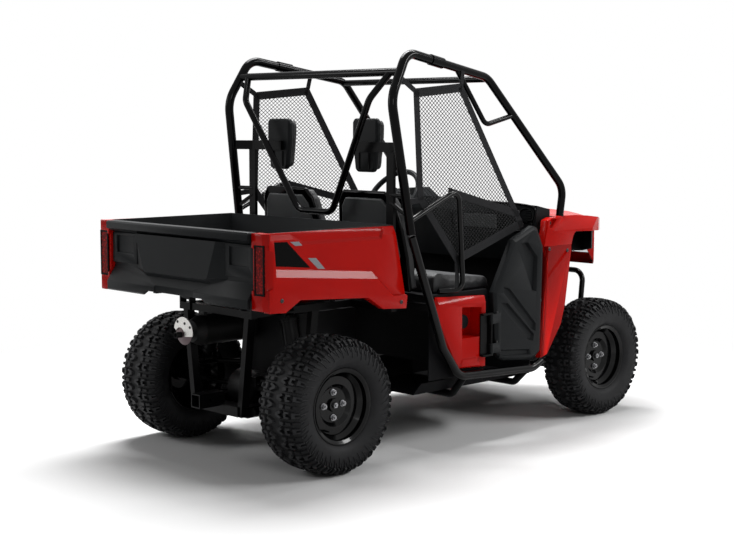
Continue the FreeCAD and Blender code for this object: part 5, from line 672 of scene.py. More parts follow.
def mirror(mesh: Shape) -> Shape:
    """A copy on the other side of the vehicle, with its faces outwards."""
    copy = mesh.copy()
    bmesh.ops.scale(copy, vec=(1, -1, 1), verts=copy.verts)
    bmesh.ops.reverse_faces(copy, faces=copy.faces)
    return copy


def both(mesh: Shape) -> Shape:
    """A left piece with its mirror image, as one bmesh."""
    return merge([mirror(mesh), mesh])


def lathe(profile: Sequence[Flat], steps: int, centre: Point, axis: Point = (0, 1, 0)) -> Shape:
    """A closed ring turned about an axis.

    Args:
        profile: (radius, along) points of the closed section; a radius of zero lies on the axis.
        steps: faces around.
        centre: where the axis starts.
        axis: the direction that along is measured in.

    Returns:
        The ring, with its faces outwards.
    """
    turn = Vector((0, 1, 0)).rotation_difference(Vector(axis)).to_matrix().to_4x4()
    move = Matrix.Translation(centre) @ turn
    mesh = bmesh.new()
    angles = [math.tau * i / steps for i in range(steps)]
    rings = []
    for radius, along in profile:
        if radius < TINY:
            rings.append([mesh.verts.new(move @ Vector((0, along, 0)))])
            continue
        points = [Vector((radius * math.sin(a), along, radius * math.cos(a))) for a in angles]
        rings.append([mesh.verts.new(move @ point) for point in points])
    for first, second in zip(rings, rings[1:] + rings[:1]):
        for i in range(steps):
            j = (i + 1) % steps
            if len(first) > 1 and len(second) > 1:
                mesh.faces.new((first[i], first[j], second[j], second[i]))
            elif len(first) > 1:
                mesh.faces.new((first[i], first[j], second[0]))
            elif len(second) > 1:
                mesh.faces.new((first[0], second[j], second[i]))
    bmesh.ops.recalc_face_normals(mesh, faces=mesh.faces)
    return mesh


def between(p: float, q: float, r: float, s: float, t: float) -> float:
    """The value a share t of the way from q to r on a smooth curve through four values."""
    square = (2 * p - 5 * q + 4 * r - s) * t * t
    return 0.5 * (2 * q + (r - p) * t + square + (3 * q - p - 3 * r + s) * t ** 3)


def smooth_path(points: Sequence[Flat], steps: int) -> list[Flat]:
    """A rounded line through the points, with steps between each two."""
    ends = [points[0], *points, points[-1]]
    path: list[Flat] = []
    for a, b, c, d in zip(ends, ends[1:], ends[2:], ends[3:]):
        for step in range(steps):
            path.append(tuple(between(*values, step / steps) for values in zip(a, b, c, d)))
    return [*path, points[-1]]


class Tree:
    """A Geometry Nodes tree with named inputs, used as a modifier and then baked."""

    def __init__(self, name: str, **inputs: str) -> None:
        """Starts a tree.

        Args:
            name: the tree's name.
            inputs: the sockets that it takes besides its geometry, as name and type.
        """
        self.group = bpy.data.node_groups.new(name, "GeometryNodeTree")
        self.sockets: dict[str, str] = {}
        self.group.interface.new_socket("Geometry", in_out="INPUT", socket_type="NodeSocketGeometry")
        for key, kind in inputs.items():
            made = self.group.interface.new_socket(key, in_out="INPUT", socket_type="NodeSocket" + kind)
            self.sockets[key] = made.identifier
        self.group.interface.new_socket("Geometry", in_out="OUTPUT", socket_type="NodeSocketGeometry")
        self.start = self.group.nodes.new("NodeGroupInput")
        self.end = self.group.nodes.new("NodeGroupOutput")

    def node(
        self, kind: str, sockets: dict[object, object] | None = None, **settings: object,
    ) -> bpy.types.Node:
        """Adds a node, sets its properties, then sets or links its inputs."""
        made = self.group.nodes.new(kind)
        for key, value in settings.items():
            setattr(made, key, value)
        for key, value in (sockets or {}).items():
            if isinstance(value, Socket):
                self.group.links.new(value, made.inputs[key])
            else:
                made.inputs[key].default_value = value
        return made

    def close(self, shape: Socket) -> None:
        """Ends the tree with realized instances in their own material."""
        real = self.node("GeometryNodeRealizeInstances", {"Geometry": shape})
        painted = self.node(
            "GeometryNodeSetMaterial",
            {"Geometry": real.outputs[0], "Material": self.start.outputs["Material"]},
        )
        self.group.links.new(painted.outputs[0], self.end.inputs[0])

    def bake(self, obj: Piece, **values: object) -> Piece:
        """Runs the tree on an object.

        Args:
            obj: the object, whose mesh is the tree's geometry.
            values: the tree's inputs by name.

        Returns:
            A plain mesh object of the same name.
        """
        modifier = add_modifier(obj, "NODES", node_group=self.group)
        for key, value in values.items():
            modifier[self.sockets[key]] = value
        return as_mesh(obj)


def ring_tree() -> Tree:
    """Copies the geometry evenly around the y axis."""
    tree = Tree("copies_round_axle", Count="Int", Material="Material")
    line = tree.node("GeometryNodeMeshLine", {"Count": tree.start.outputs["Count"], "Offset": (0, 0, 0)})
    index = tree.node("GeometryNodeInputIndex")
    step = tree.node("ShaderNodeMath", {0: math.tau, 1: tree.start.outputs["Count"]}, operation="DIVIDE")
    angle = tree.node("ShaderNodeMath", {0: index.outputs[0], 1: step.outputs[0]}, operation="MULTIPLY")
    turn = tree.node("ShaderNodeCombineXYZ", {"Y": angle.outputs[0]})
    euler = tree.node("FunctionNodeEulerToRotation", {0: turn.outputs[0]})
    copies = tree.node(
        "GeometryNodeInstanceOnPoints",
        {"Points": line.outputs[0], "Instance": tree.start.outputs["Geometry"], "Rotation": euler.outputs[0]},
    )
    tree.close(copies.outputs[0])
    return tree


def strand_tree() -> Tree:
    """Gives every edge run of the geometry a round section."""
    tree = Tree("strands", Radius="Float", Sides="Int", Material="Material")
    runs = tree.node("GeometryNodeMeshToCurve", {"Mesh": tree.start.outputs["Geometry"]})
    section = tree.node(
        "GeometryNodeCurvePrimitiveCircle",
        {"Resolution": tree.start.outputs["Sides"], "Radius": tree.start.outputs["Radius"]},
    )
    solid = tree.node(
        "GeometryNodeCurveToMesh",
        {"Curve": runs.outputs[0], "Profile Curve": section.outputs[0], "Fill Caps": True},
    )
    tree.close(solid.outputs[0])
    return tree


def scatter_tree() -> Tree:
    """Puts a copy of another object on every point, turned the way that the point holds."""
    tree = Tree("fittings_on_points", Fitting="Object", Material="Material")
    fitting = tree.node("GeometryNodeObjectInfo", {"Object": tree.start.outputs["Fitting"]})
    way = tree.node("GeometryNodeInputNamedAttribute", {"Name": "way"}, data_type="FLOAT_VECTOR")
    turn = tree.node("FunctionNodeAlignRotationToVector", {"Vector": way.outputs[0]}, axis="Z")
    copies = tree.node(
        "GeometryNodeInstanceOnPoints",
        {
            "Points": tree.start.outputs["Geometry"], "Instance": fitting.outputs["Geometry"],
            "Rotation": turn.outputs[0],
        },
    )
    tree.close(copies.outputs[0])
    return tree


RINGS = ring_tree()
STRANDS = strand_tree()
SCATTER = scatter_tree()


def strands(
    name: str, runs: Iterable[Sequence[Point]], radius: float, sides: int, finish: Finish
) -> Piece:
    """Cords along runs of points.

    Args:
        name: the piece's name.
        runs: the runs of points.
        radius: the cords' radius.
        sides: faces around each cord.
        finish: the cords' finish.

    Returns:
        The piece, not yet riding on a body.
    """
    mesh = bmesh.new()
    for run in runs:
        points = [mesh.verts.new(p) for p in run]
        for first, second in zip(points, points[1:]):
            mesh.edges.new((first, second))
    made = mesh_object(name, mesh, finish)
    made = STRANDS.bake(made, Radius=radius, Sides=sides, Material=material(finish))
    shade(made.data, 50.0)
    return made


def fittings(
    name: str, fitting: Shape, places: Sequence[tuple[Point, Point]], finish: Finish
) -> Piece:
    """Copies of a small fitting, such as a screw head.

    Args:
        name: the piece's name.
        fitting: its shape at the origin, standing up along z.
        places: where each stands, and the way that it faces.
        finish: its finish.

    Returns:
        The piece, not yet riding on a body.
    """
    source = mesh_object(name + "_one", fitting, finish)
    source.hide_render = True
    mesh = bmesh.new()
    layer = mesh.verts.layers.float_vector.new("way")
    for spot, way in places:
        mesh.verts.new(spot)[layer] = way
    made = mesh_object(name, mesh, finish)
    made = SCATTER.bake(made, Fitting=source, Material=material(finish))
    bpy.data.objects.remove(source)
    shade(made.data, 35.0)
    return made


# The section of a domed screw head with a sunk socket, as shares of its radius and its height.
HEAD_SECTION = (
    (0.0, 0.45), (0.45, 0.45), (0.45, 1.0), (0.72, 0.96), (0.93, 0.62), (1.0, 0.2), (1.0, -1.0), (0.0, -1.0),
)


def round_head(radius: float, height: float) -> Shape:
    """A low domed screw head with a sunk socket."""
    return lathe([(radius * a, height * b) for a, b in HEAD_SECTION], 12, (0, 0, 0), (0, 0, 1))


def hex_nut(radius: float, height: float, stud: float) -> Shape:
    """A hexagonal nut on a washer, with its stud's end showing."""
    corners = [(radius * math.cos(a), radius * math.sin(a)) for a in (math.tau * i / 6 for i in range(6))]
    nut = prism(corners, 0.0, height, "z")
    rim, level = radius * 1.25, height * 0.18
    washer = lathe([(0, 0), (0, level), (rim, level), (rim, 0)], 20, (0, 0, 0), (0, 0, 1))
    thread, tip, shoulder = radius * 0.48, radius * 0.42, stud - radius * 0.1
    pin = lathe([(0, 0), (0, stud), (tip, stud), (thread, shoulder), (thread, 0)], 12, (0, 0, 0), (0, 0, 1))
    return merge([nut, washer, pin])


@dataclass
class Tyre:
    """A knobby tyre with its carcass, chevron blocks, shoulder lugs and sidewall fins."""

    label: str
    centre: Point
    width: float
    body: str
    radius: float = 0.300
    lug: float = 0.0135
    pitches: int = 26
    seat: float = 0.1523
    rim_lip: float = 0.013
    side_inset: float = 0.0022
    bead_wall: float = 0.007
    bead_gap: float = 0.0003
    drawn_width: float = 0.2496
    fin_height: float = 0.0030
    fin_from: float = 0.127
    fin_lean: float = 9.0
    steps: int = 104
    smooth: float = 38.0
    track: list[Flat] = field(default_factory=list)
    reach: list[float] = field(default_factory=list)

    # The lugs are drawn for a tyre of drawn_width, which is without its side insets.
    # How far each point of the section lies below the crown, and its share of the half width.
    SECTION = (
        (0.0, 0.0), (0.0012, 0.40), (0.0050, 0.70), (0.0140, 0.885), (0.0330, 0.972), (0.0580, 1.0),
        (0.0830, 0.978), (0.1020, 0.925),
    )
    # Outlines of the lugs, in millimetres round the tyre and across it.
    CHEVRON = ((-20, 10), (-7, -21), (7, -21), (20, 10), (15, 20), (8, 17), (0, -3), (-8, 17), (-15, 20))
    SADDLE = (
        (-18, -14), (-8, -17), (8, -17), (18, -14), (19, 12), (10, 17), (8, -2), (-8, -2), (-10, 17),
        (-19, 12),
    )
    WEDGE = ((-9, -12), (9, -12), (10, 10), (0, 15), (-10, 10))
    SHOULDER = ((-16, -15), (15, -16), (13, 17), (6, 19), (6, 0), (-6, 0), (-7, 19), (-13, 17))
    SLIM = ((-8, -13), (8, -13), (7, 18), (-7, 18))
    # Each lug's outline, its share of the pitch, its place across, how far its top is sunk, and its taper.
    LUGS = (
        (CHEVRON, 0.0, 0.027, 0.0003, 0.86),
        (WEDGE, 0.5, 0.044, 0.0009, 0.86),
        (SADDLE, 0.02, 0.074, 0.0010, 0.86),
        (SLIM, 0.5, 0.078, 0.0015, 0.86),
        (SHOULDER, 0.04, 0.111, 0.0020, 0.84),
        (SLIM, 0.52, 0.112, 0.0030, 0.80),
    )
    # Each fin's share of the pitch, its length in metres and half its thickness in millimetres.
    FINS = ((0.0, 0.050, 3.4), (0.5, 0.040, 2.6), (0.27, 0.026, 1.9), (0.77, 0.026, 1.9))
    FIN_TAPER = 0.8

    def __post_init__(self) -> None:
        """Works out the half section and its running length from the crown."""
        half = self.width / 2 - self.side_inset
        bead = (self.width - TYRE_OVER_RIM) / 2 - RIM_LIP_ROLL - self.bead_wall - self.bead_gap
        base = self.radius - self.lug
        lip = self.seat + self.rim_lip
        points = [(base - drop, half * share) for drop, share in self.SECTION]
        points += [(lip + 0.004, bead + 0.0085), (lip, bead + 0.0015), (self.seat + 0.002, bead)]
        self.track = smooth_path(points, 4)
        self.reach = [0.0]
        for a, b in zip(self.track, self.track[1:]):
            self.reach.append(self.reach[-1] + math.dist(a, b))

    def surface(self, along: float, out: float, height: float) -> Vector:
        """A point on or above the carcass, about the axle.

        Args:
            along: distance round the tyre at its full radius.
            out: signed distance across, along the section from the crown.
            height: distance above the carcass.

        Returns:
            The point, with the wheel's centre at the origin.
        """
        far = min(abs(out), self.reach[-1] - TINY)
        index = next(i for i, r in enumerate(self.reach[1:]) if r >= far)
        share = (far - self.reach[index]) / (self.reach[index + 1] - self.reach[index])
        (r0, w0), (r1, w1) = self.track[index], self.track[index + 1]
        radial, across = r0 + (r1 - r0) * share, w0 + (w1 - w0) * share
        length = math.hypot(r1 - r0, w1 - w0)
        normal = ((w1 - w0) / length, -(r1 - r0) / length)
        radial, across = radial + normal[0] * height, across + normal[1] * height
        angle = along / self.radius
        side = math.copysign(across, out) if out else across
        return Vector((radial * math.sin(angle), side, radial * math.cos(angle)))

    def block(self, mesh: Shape, outline: Sequence[Flat], height: float, taper: float) -> None:
        """Adds one lug.

        Args:
            mesh: the bmesh that takes it.
            outline: its (along, out) corners at the foot, in order.
            height: how far it stands above the carcass.
            taper: the size of its top as a share of its foot.
        """
        middle = [sum(p[i] for p in outline) / len(outline) for i in (0, 1)]
        rings = []
        for scale, level in ((1.06, -0.003), (1.0, 0.001), (taper, height - 0.0014), (taper * 0.93, height)):
            ring = [
                (middle[0] + (a - middle[0]) * scale, middle[1] + (b - middle[1]) * scale)
                for a, b in outline
            ]
            rings.append([mesh.verts.new(self.surface(a, b, level)) for a, b in ring])
        join_rings(mesh, rings)
        mesh.faces.new(rings[-1])
        mesh.faces.new(list(reversed(rings[0])))

    def fin(self, length: float, thick: float) -> list[Flat]:
        """A leaning sidewall fin's outline, in millimetres."""
        lean = self.fin_lean
        return [
            (-thick, 0), (thick, 0), (thick + lean, length * 500), (thick * 0.6 + lean * 2, length * 1000),
            (-thick * 0.6 + lean * 2, length * 1000), (-thick + lean, length * 500),
        ]

    def tread(self) -> Shape:
        """One pitch of the pattern, at the top of the tyre."""
        mesh = bmesh.new()
        wide = (self.width - 2 * self.side_inset) / self.drawn_width
        step = math.tau * self.radius / self.pitches
        for way in (1, -1):
            shift = 0.0 if way > 0 else step / 2
            lugs = [(o, step * s, out, self.lug - sunk, taper) for o, s, out, sunk, taper in self.LUGS]
            for s, length, thick in self.FINS:
                lugs.append(
                    (self.fin(length, thick), step * s, self.fin_from, self.fin_height, self.FIN_TAPER)
                )
            for outline, along, out, height, taper in lugs:
                corners = [(shift + along + a / 1000, way * (out + b / 1000) * wide) for a, b in outline]
                self.block(mesh, corners, height, taper)
        bmesh.ops.recalc_face_normals(mesh, faces=mesh.faces)
        return mesh

    def build(self) -> Piece:
        """Makes the tyre in place of its CAD node."""
        carcass = [(r, w) for r, w in self.track] + [(r, -w) for r, w in reversed(self.track)]
        ring = mesh_object("carcass", lathe(carcass, self.steps, (0, 0, 0)), RUBBER, self.smooth)
        lugs = mesh_object("lugs", self.tread(), RUBBER, self.smooth)
        lugs = RINGS.bake(lugs, Count=self.pitches, Material=material(RUBBER))
        whole = merge([bmesh_of(ring), bmesh_of(lugs)])
        bmesh.ops.translate(whole, vec=self.centre, verts=whole.verts)
        node = "tyre_" + self.label
        made = mesh_object(node + "_rubber", whole, RUBBER, self.smooth)
        # The lugs' flat end faces, of more than four corners, take the paler rubber as a painted highlight.
        made.data.materials.append(material(LUG_TOP_HIGHLIGHT))
        for face in made.data.polygons:
            face.material_index = int(len(face.vertices) > 4)
        return place(made, self.body, Slot.TYRE, node)


@dataclass
class Wheel:
    """A tyre with the nuts, hub and valve of its pressed rim."""

    label: str
    side: Side
    centre: Point
    width: float
    body: str
    disc_inset: float = 0.046
    bowl_depth: float = 0.016
    bolt_circle: float = 0.055
    nut: float = 0.0115
    nut_height: float = 0.013
    nut_stud: float = 0.019
    axle_nut: float = 0.0125
    axle_stud: float = 0.018
    axle_rise: float = 0.008
    valve_circle: float = 0.118

    VALVE_WAY = (0.5, 0.866)
    HUB = (
        (0, -0.012), (0, 0.009), (0.011, 0.009), (0.014, 0.006), (0.027, 0.004), (0.0295, 0.0),
        (0.0295, -0.012),
    )
    STEM = (
        (0, 0), (0, 0.028), (0.0028, 0.028), (0.0034, 0.020), (0.0042, 0.010), (0.0055, 0.0),
        (0.0055, -0.004), (0, -0.004),
    )

    def disc_out(self) -> float:
        """How far outboard of the wheel's centre the disc's middle lies."""
        return (self.width - TYRE_OVER_RIM) / 2 - RIM_LIP_ROLL - self.disc_inset - self.bowl_depth

    def build(self) -> None:
        """Makes the tyre and the fittings and paints the rim."""
        Tyre(self.label, self.centre, self.width, self.body).build()
        dress_node("rim_" + self.label, WHEEL)
        out = self.side.value
        axis = (0, out, 0)
        x, y, z = self.centre
        face = y + out * self.disc_out()
        spots = []
        for quarter in range(4):
            angle = math.tau * quarter / 4
            spot = (x + self.bolt_circle * math.sin(angle), face, z + self.bolt_circle * math.cos(angle))
            spots.append((spot, axis))
        nuts = fittings("nuts_" + self.label, hex_nut(self.nut, self.nut_height, self.nut_stud), spots, BOLT)
        place(nuts, self.body, Slot.STEEL)
        hub = mesh_object("hub_" + self.label, lathe(self.HUB, 32, (x, face, z), axis), WHEEL, 35.0)
        place(hub, self.body, WHEEL.slot)
        spot = (x, face + out * self.axle_rise, z)
        shape = hex_nut(self.axle_nut, self.nut_height, self.axle_stud)
        place(fittings("axle_nut_" + self.label, shape, [(spot, axis)], BOLT), self.body, Slot.STEEL)
        down = [self.valve_circle * share for share in self.VALVE_WAY]
        seat = (x - down[0], y + out * (self.disc_out() + self.bowl_depth), z - down[1])
        valve = mesh_object("valve_" + self.label, lathe(self.STEM, 14, seat, axis), MOULDED)
        place(valve, self.body, Slot.BLACK_PLASTIC)


@dataclass(frozen=True)
class Lamp:
    """A rectangular soft light: its place, the point it faces, its width and height, and its watts."""

    name: str
    spot: Point
    aim: Point
    size: Flat
    power: float

    def build(self) -> None:
        """Hangs the light."""
        data = bpy.data.lights.new(self.name, "AREA")
        data.shape = "RECTANGLE"
        data.size, data.size_y = self.size
        data.energy = self.power
        made = bpy.data.objects.new(self.name, data)
        made.location = self.spot
        made.rotation_euler = (Vector(self.aim) - Vector(self.spot)).to_track_quat("-Z", "Y").to_euler()
        bpy.context.scene.collection.objects.link(made)


@dataclass
class Studio:
    """The pale floor, the soft lights and the camera at the photograph's angle."""

    eye: Point = (ahead(-3.987), -4.879, 1.499)
    heading: float = math.radians(46.21)
    down: float = math.radians(6.21)
    roll: float = math.radians(-0.06)
    film_width: float = 36.0
    focal_share: float = 1398.7 / 734
    shift: Flat = (6.0 / 734, 0.0)
    clear_from: float = 1.7
    clear_at: float = 3.3
    floor_half: float = 30.0
    soft_light: float = 0.11

    LAMPS = (
        Lamp("overhead", (0.0, 0.9, 4.6), (0.0, 0.0, 0.8), (2.4, 1.6), 250.0),
        Lamp("overhead_strip", (1.0, 0.7, 4.4), (0.2, 0.0, 0.8), (4.6, 0.36), 200.0),
        Lamp("front_right", (3.6, -4.6, 3.85), (-0.6, -0.6, 0.9), (3.6, 0.70), 230.0),
        Lamp("rear_left", (-4.2, 3.4, 2.8), (0.0, 0.0, 0.9), (1.4, 1.8), 50.0),
        Lamp("rear_right", (-3.2, -5.2, 3.0), (0.0, 0.0, 0.7), (1.6, 1.0), 35.0),
    )

    def camera(self) -> None:
        """Makes the camera."""
        data = bpy.data.cameras.new("camera")
        data.sensor_width = self.film_width
        data.lens = data.sensor_width * self.focal_share
        data.shift_x, data.shift_y = self.shift
        made = bpy.data.objects.new("camera", data)
        made.location = self.eye
        made.rotation_mode = "XYZ"
        made.rotation_euler = Euler((math.pi / 2 - self.down, self.roll, self.heading - math.pi / 2), "XYZ")
        bpy.context.scene.collection.objects.link(made)
        bpy.context.scene.camera = made

    def floor(self) -> None:
        """Makes the floor, which is white to the camera and pale to the light."""
        mesh = bmesh.new()
        bmesh.ops.create_grid(mesh, x_segments=1, y_segments=1, size=self.floor_half)
        data = bpy.data.meshes.new("floor")
        mesh.to_mesh(data)
        mesh.free()
        data.materials.append(self.floor_material())
        made = bpy.data.objects.new("floor", data)
        bpy.context.scene.collection.objects.link(made)

    def floor_material(self) -> bpy.types.Material:
        """A white floor that keeps the vehicle's soft shadow and fades to plain white far off."""
        shader = Shader("studio_floor")
        tint = shader.mix(shader.noise(0.6, 2.0), (0.80, 0.80, 0.80), (0.77, 0.77, 0.77))
        shader.finish(Base_Color=tint, Roughness=0.8, Specular_IOR_Level=0.0)
        distance = shader.wire(shader.node("ShaderNodeVectorMath", operation="LENGTH"), Vector=shader.place)
        far = shader.range(distance.outputs["Value"], 0.0, 1.0, self.clear_from, self.clear_at)
        path = shader.node("ShaderNodeLightPath")
        seen = shader.maths("MAXIMUM", path.outputs["Is Camera Ray"], path.outputs["Is Glossy Ray"])
        white = shader.wire(shader.node("ShaderNodeEmission"), Color=(1, 1, 1, 1), Strength=1.0)
        blend = shader.node("ShaderNodeMixShader")
        shader.link(shader.maths("MULTIPLY", far, seen), blend.inputs[0])
        shader.link(shader.surface.outputs[0], blend.inputs[1])
        shader.link(white.outputs[0], blend.inputs[2])
        shader.link(blend.outputs[0], shader.tree.nodes["Material Output"].inputs["Surface"])
        return shader.material

    def world(self) -> None:
        """A pale surround, white where the camera, the gloss and the glass see it."""
        world = bpy.data.worlds.new("surround")
        bpy.context.scene.world = world
        world.use_nodes = True
        nodes, links = world.node_tree.nodes, world.node_tree.links
        nodes.clear()
        path = nodes.new("ShaderNodeLightPath")
        seen, soft = nodes.new("ShaderNodeBackground"), nodes.new("ShaderNodeBackground")
        for background, strength in ((seen, 1.0), (soft, self.soft_light)):
            background.inputs["Color"].default_value = (1, 1, 1, 1)
            background.inputs["Strength"].default_value = strength
        either = path.outputs["Is Camera Ray"]
        for kind in ("Is Glossy Ray", "Is Transmission Ray"):
            more = nodes.new("ShaderNodeMath")
            more.operation = "MAXIMUM"
            links.new(either, more.inputs[0])
            links.new(path.outputs[kind], more.inputs[1])
            either = more.outputs[0]
        blend = nodes.new("ShaderNodeMixShader")
        output = nodes.new("ShaderNodeOutputWorld")
        links.new(either, blend.inputs[0])
        links.new(soft.outputs[0], blend.inputs[1])
        links.new(seen.outputs[0], blend.inputs[2])
        links.new(blend.outputs[0], output.inputs[0])

    def build(self) -> None:
        """Makes the whole studio."""
        self.camera()
        self.floor()
        self.world()
        for lamp in self.LAMPS:
            lamp.build()
        bpy.context.scene.view_settings.view_transform = "Standard"


@dataclass
class SideNet:
    """One side net: crossing cords inside a webbing border, with straps at its corners."""

    side: Side
    rear: float = 0.487
    front: float = 1.262
    top: float = 1.672
    low: float = 0.862
    half: float = 0.549
    outboard: float = 0.002
    lean_up: float = 0.0548
    lean_ahead: float = 0.0640
    pitch: float = 0.0148
    cord: float = 0.0014
    knot: float = 0.0031
    lean: float = math.radians(38.0)
    rows: int = 70
    parallel: float = 1e-9
    border: float = 0.040
    border_inward: float = 0.3
    strap: float = 0.036
    tab: float = 0.026
    least_area: float = 0.31

    # The corners, as shares of the way from rear to front and from low to top.
    CORNERS = ((0.0, 0.963), (0.43, 1.0), (1.0, 0.18), (0.33, 0.0), (0.004, 0.365))
    # The ends of the strap across the net, as (ahead of the rear axle, up).
    STRAP_ENDS = ((0.70, 1.19), (1.235, 1.06))
    # The corner straps, each from a corner to a place on the cage, in the same shares.
    TABS = (
        ((0.0, 0.963), (-0.12, 1.03)), ((0.43, 1.0), (0.45, 1.09)), ((0.004, 0.365), (-0.11, 0.355)),
        ((0.33, 0.0), (0.33, -0.157)),
    )
    # A strap's section, as shares of its width and as metres off the net.
    STRAP_SECTION = (
        (-0.5, 0.0), (-0.46, 0.0017), (0.46, 0.0017), (0.5, 0.0), (0.46, -0.0017), (-0.46, -0.0017),
    )

    def spot(self, x: float, z: float, out: float = 0.0) -> Point:
        """A point on the net's leaning plane, moved outboard a little."""
        y = self.half + (self.top - z) * self.lean_up - (x - self.rear) * self.lean_ahead
        return (ahead(x), self.side.value * (y + self.outboard + out), z)

    def share_spot(self, share: Flat) -> Flat:
        """A place on the net given in shares of its length and height, as (ahead, up)."""
        return (self.rear + (self.front - self.rear) * share[0], self.low + (self.top - self.low) * share[1])

    def outline(self) -> list[Flat]:
        """The net's corners as (ahead, up)."""
        return [self.share_spot(share) for share in self.CORNERS]

    def clip(self, start: Flat, way: Flat, corners: Sequence[Flat]) -> tuple[float, float] | None:
        """Where a straight line crosses a convex outline, as distances along it."""
        cuts = []
        for (ax, az), (bx, bz) in zip(corners, [*corners[1:], corners[0]]):
            ex, ez = bx - ax, bz - az
            cross = way[0] * ez - way[1] * ex
            if abs(cross) < self.parallel:
                continue
            t = ((ax - start[0]) * ez - (az - start[1]) * ex) / cross
            u = ((ax - start[0]) * way[1] - (az - start[1]) * way[0]) / cross
            if 0 <= u <= 1:
                cuts.append(t)
        return (min(cuts), max(cuts)) if len(cuts) > 1 else None

    def cords(self) -> list[list[Point]]:
        """The crossing cords, each straight between the borders."""
        corners = self.outline()
        middle = self.middle()
        runs = []
        for lean in (1, -1):
            way = (math.cos(self.lean), lean * math.sin(self.lean))
            across = (-way[1], way[0])
            for row in range(-self.rows, self.rows + 1):
                start = (middle[0] + across[0] * row * self.pitch, middle[1] + across[1] * row * self.pitch)
                cut = self.clip(start, way, corners)
                if cut is None or cut[1] - cut[0] < self.pitch:
                    continue
                runs.append([self.spot(start[0] + way[0] * t, start[1] + way[1] * t) for t in cut])
        return runs

    def middle(self) -> Flat:
        """The middle of the net's corners."""
        corners = self.outline()
        return (sum(p[0] for p in corners) / len(corners), sum(p[1] for p in corners) / len(corners))

    def knots(self) -> list[tuple[Point, Point]]:
        """The knots where the cords cross, each with the way that it faces."""
        corners = self.outline()
        middle = self.middle()
        step_ahead = self.pitch / (2 * math.sin(self.lean))
        step_up = self.pitch / (2 * math.cos(self.lean))
        places = []
        for row in range(-self.rows, self.rows + 1):
            level = middle[1] + row * step_up
            cut = self.clip((middle[0], level), (1.0, 0.0), corners)
            if cut is None:
                continue
            for count in range(-self.rows, self.rows + 1):
                along = count * step_ahead
                if (row + count) % 2 == 0 and cut[0] < along < cut[1]:
                    places.append((self.spot(middle[0] + along, level), (0.0, float(self.side.value), 0.0)))
        return places

    def band(self, start: Flat, end: Flat, width: float, inward: float = 0.0) -> Shape:
        """A flat strap between two places, its edges rolled.

        Args:
            start: where it starts, as (ahead, up).
            end: where it ends.
            width: its width.
            inward: how far to its left the strap's middle lies.

        Returns:
            The strap, on this side of the vehicle.
        """
        way = Vector((end[0] - start[0], end[1] - start[1])).normalized()
        left = Vector((-way.y, way.x))
        mesh = bmesh.new()
        rings = []
        for point in (start, end):
            base = Vector(point) + left * inward
            rings.append(
                [mesh.verts.new(self.spot(*(base + left * (a * width)), b)) for a, b in self.STRAP_SECTION]
            )
        join_rings(mesh, rings)
        mesh.faces.new(rings[0])
        mesh.faces.new(list(reversed(rings[1])))
        bmesh.ops.recalc_face_normals(mesh, faces=mesh.faces)
        return mesh

    def webbing(self) -> Shape:
        """The border, the strap across the net and the corner straps."""
        corners = self.outline()
        inward = -self.border * self.border_inward
        bands = [self.band(a, b, self.border, inward) for a, b in zip(corners, [*corners[1:], corners[0]])]
        bands.append(self.band(*self.STRAP_ENDS, self.strap))
        bands += [self.band(self.share_spot(a), self.share_spot(b), self.tab) for a, b in self.TABS]
        return merge(bands)

    def build(self) -> None:
        """Makes the net and its webbing."""
        name = "side_net_" + self.side.label
        knot = bmesh.new()
        bmesh.ops.create_icosphere(knot, subdivisions=1, radius=self.knot)
        knots = fittings(name + "_knots", knot, self.knots(), NET)
        cords = strands(name + "_cords", self.cords(), self.cord, 5, NET)
        net = mesh_object(name, merge([bmesh_of(cords), bmesh_of(knots)]), NET, 50.0)
        webbing = mesh_object("net_webbing_" + self.side.label, self.webbing(), STRAP, 20.0)
        place(net, "frame", Slot.MESH)
        place(webbing, "frame", Slot.MESH)
        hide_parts("side_nets")


@dataclass
class Pad:
    """A stuffed cover, blown up from its flat-faced pattern as sewn vinyl over foam is."""

    name: str
    pattern: Shape
    finish: Finish
    fill: float
    cell: float = 0.006
    frames: int = 20
    swell: float = 0.004
    relax: float = 0.5
    relax_steps: int = 8
    looks_up: float = 0.80

    CLOTH = {
        "use_pressure": True, "uniform_pressure_force": 4.0, "quality": 3, "tension_stiffness": 40.0,
        "compression_stiffness": 40.0, "shear_stiffness": 20.0, "bending_stiffness": 4.0,
    }

    def build(self, replaced: str, top: Finish | None = None) -> Piece:
        """Makes the pad in place of its CAD node.

        Args:
            replaced: the CAD node that it stands for.
            top: the finish of the faces that look up, where it isn't the cover's own; a paler one paints the
                light from above on them.

        Returns:
            The piece.
        """
        made = mesh_object(self.name, self.pattern, self.finish)
        add_modifier(made, "REMESH", mode="VOXEL", voxel_size=self.cell)
        made = as_mesh(made)
        made = self.blow(made)
        add_modifier(made, "SMOOTH", factor=self.relax, iterations=self.relax_steps)
        add_modifier(made, "SUBSURF", levels=1, render_levels=1)
        made = as_mesh(made)
        made.data.shade_smooth()
        made.data.materials.clear()
        made.data.materials.append(material(self.finish))
        if top is not None:
            made.data.materials.append(material(top))
            # Faces that look up take the top finish, which paints the light from above.
            for face in made.data.polygons:
                face.material_index = int(face.normal.z > self.looks_up)
        place(made, body_of_node(replaced), self.finish.slot, replaced)
        return made

    def blow(self, obj: Piece) -> Piece:
        """Runs the cover's cloth simulation and keeps its last frame."""
        cloth = add_modifier(obj, "CLOTH")
        for key, value in self.CLOTH.items():
            setattr(cloth.settings, key, value)
        cloth.settings.effector_weights.gravity = 0.0
        cloth.point_cache.frame_start, cloth.point_cache.frame_end = 1, self.frames
        before = [v.co.copy() for v in obj.data.vertices]
        for step in range(1, self.frames + 1):
            bpy.context.scene.frame_set(step)
        blown = as_mesh(obj)
        bpy.context.scene.frame_set(1)
        for vertex, old in zip(blown.data.vertices, before):
            move = vertex.co - old
            if move.length > self.swell:
                vertex.co = old + move * (self.swell / move.length)
        return blown


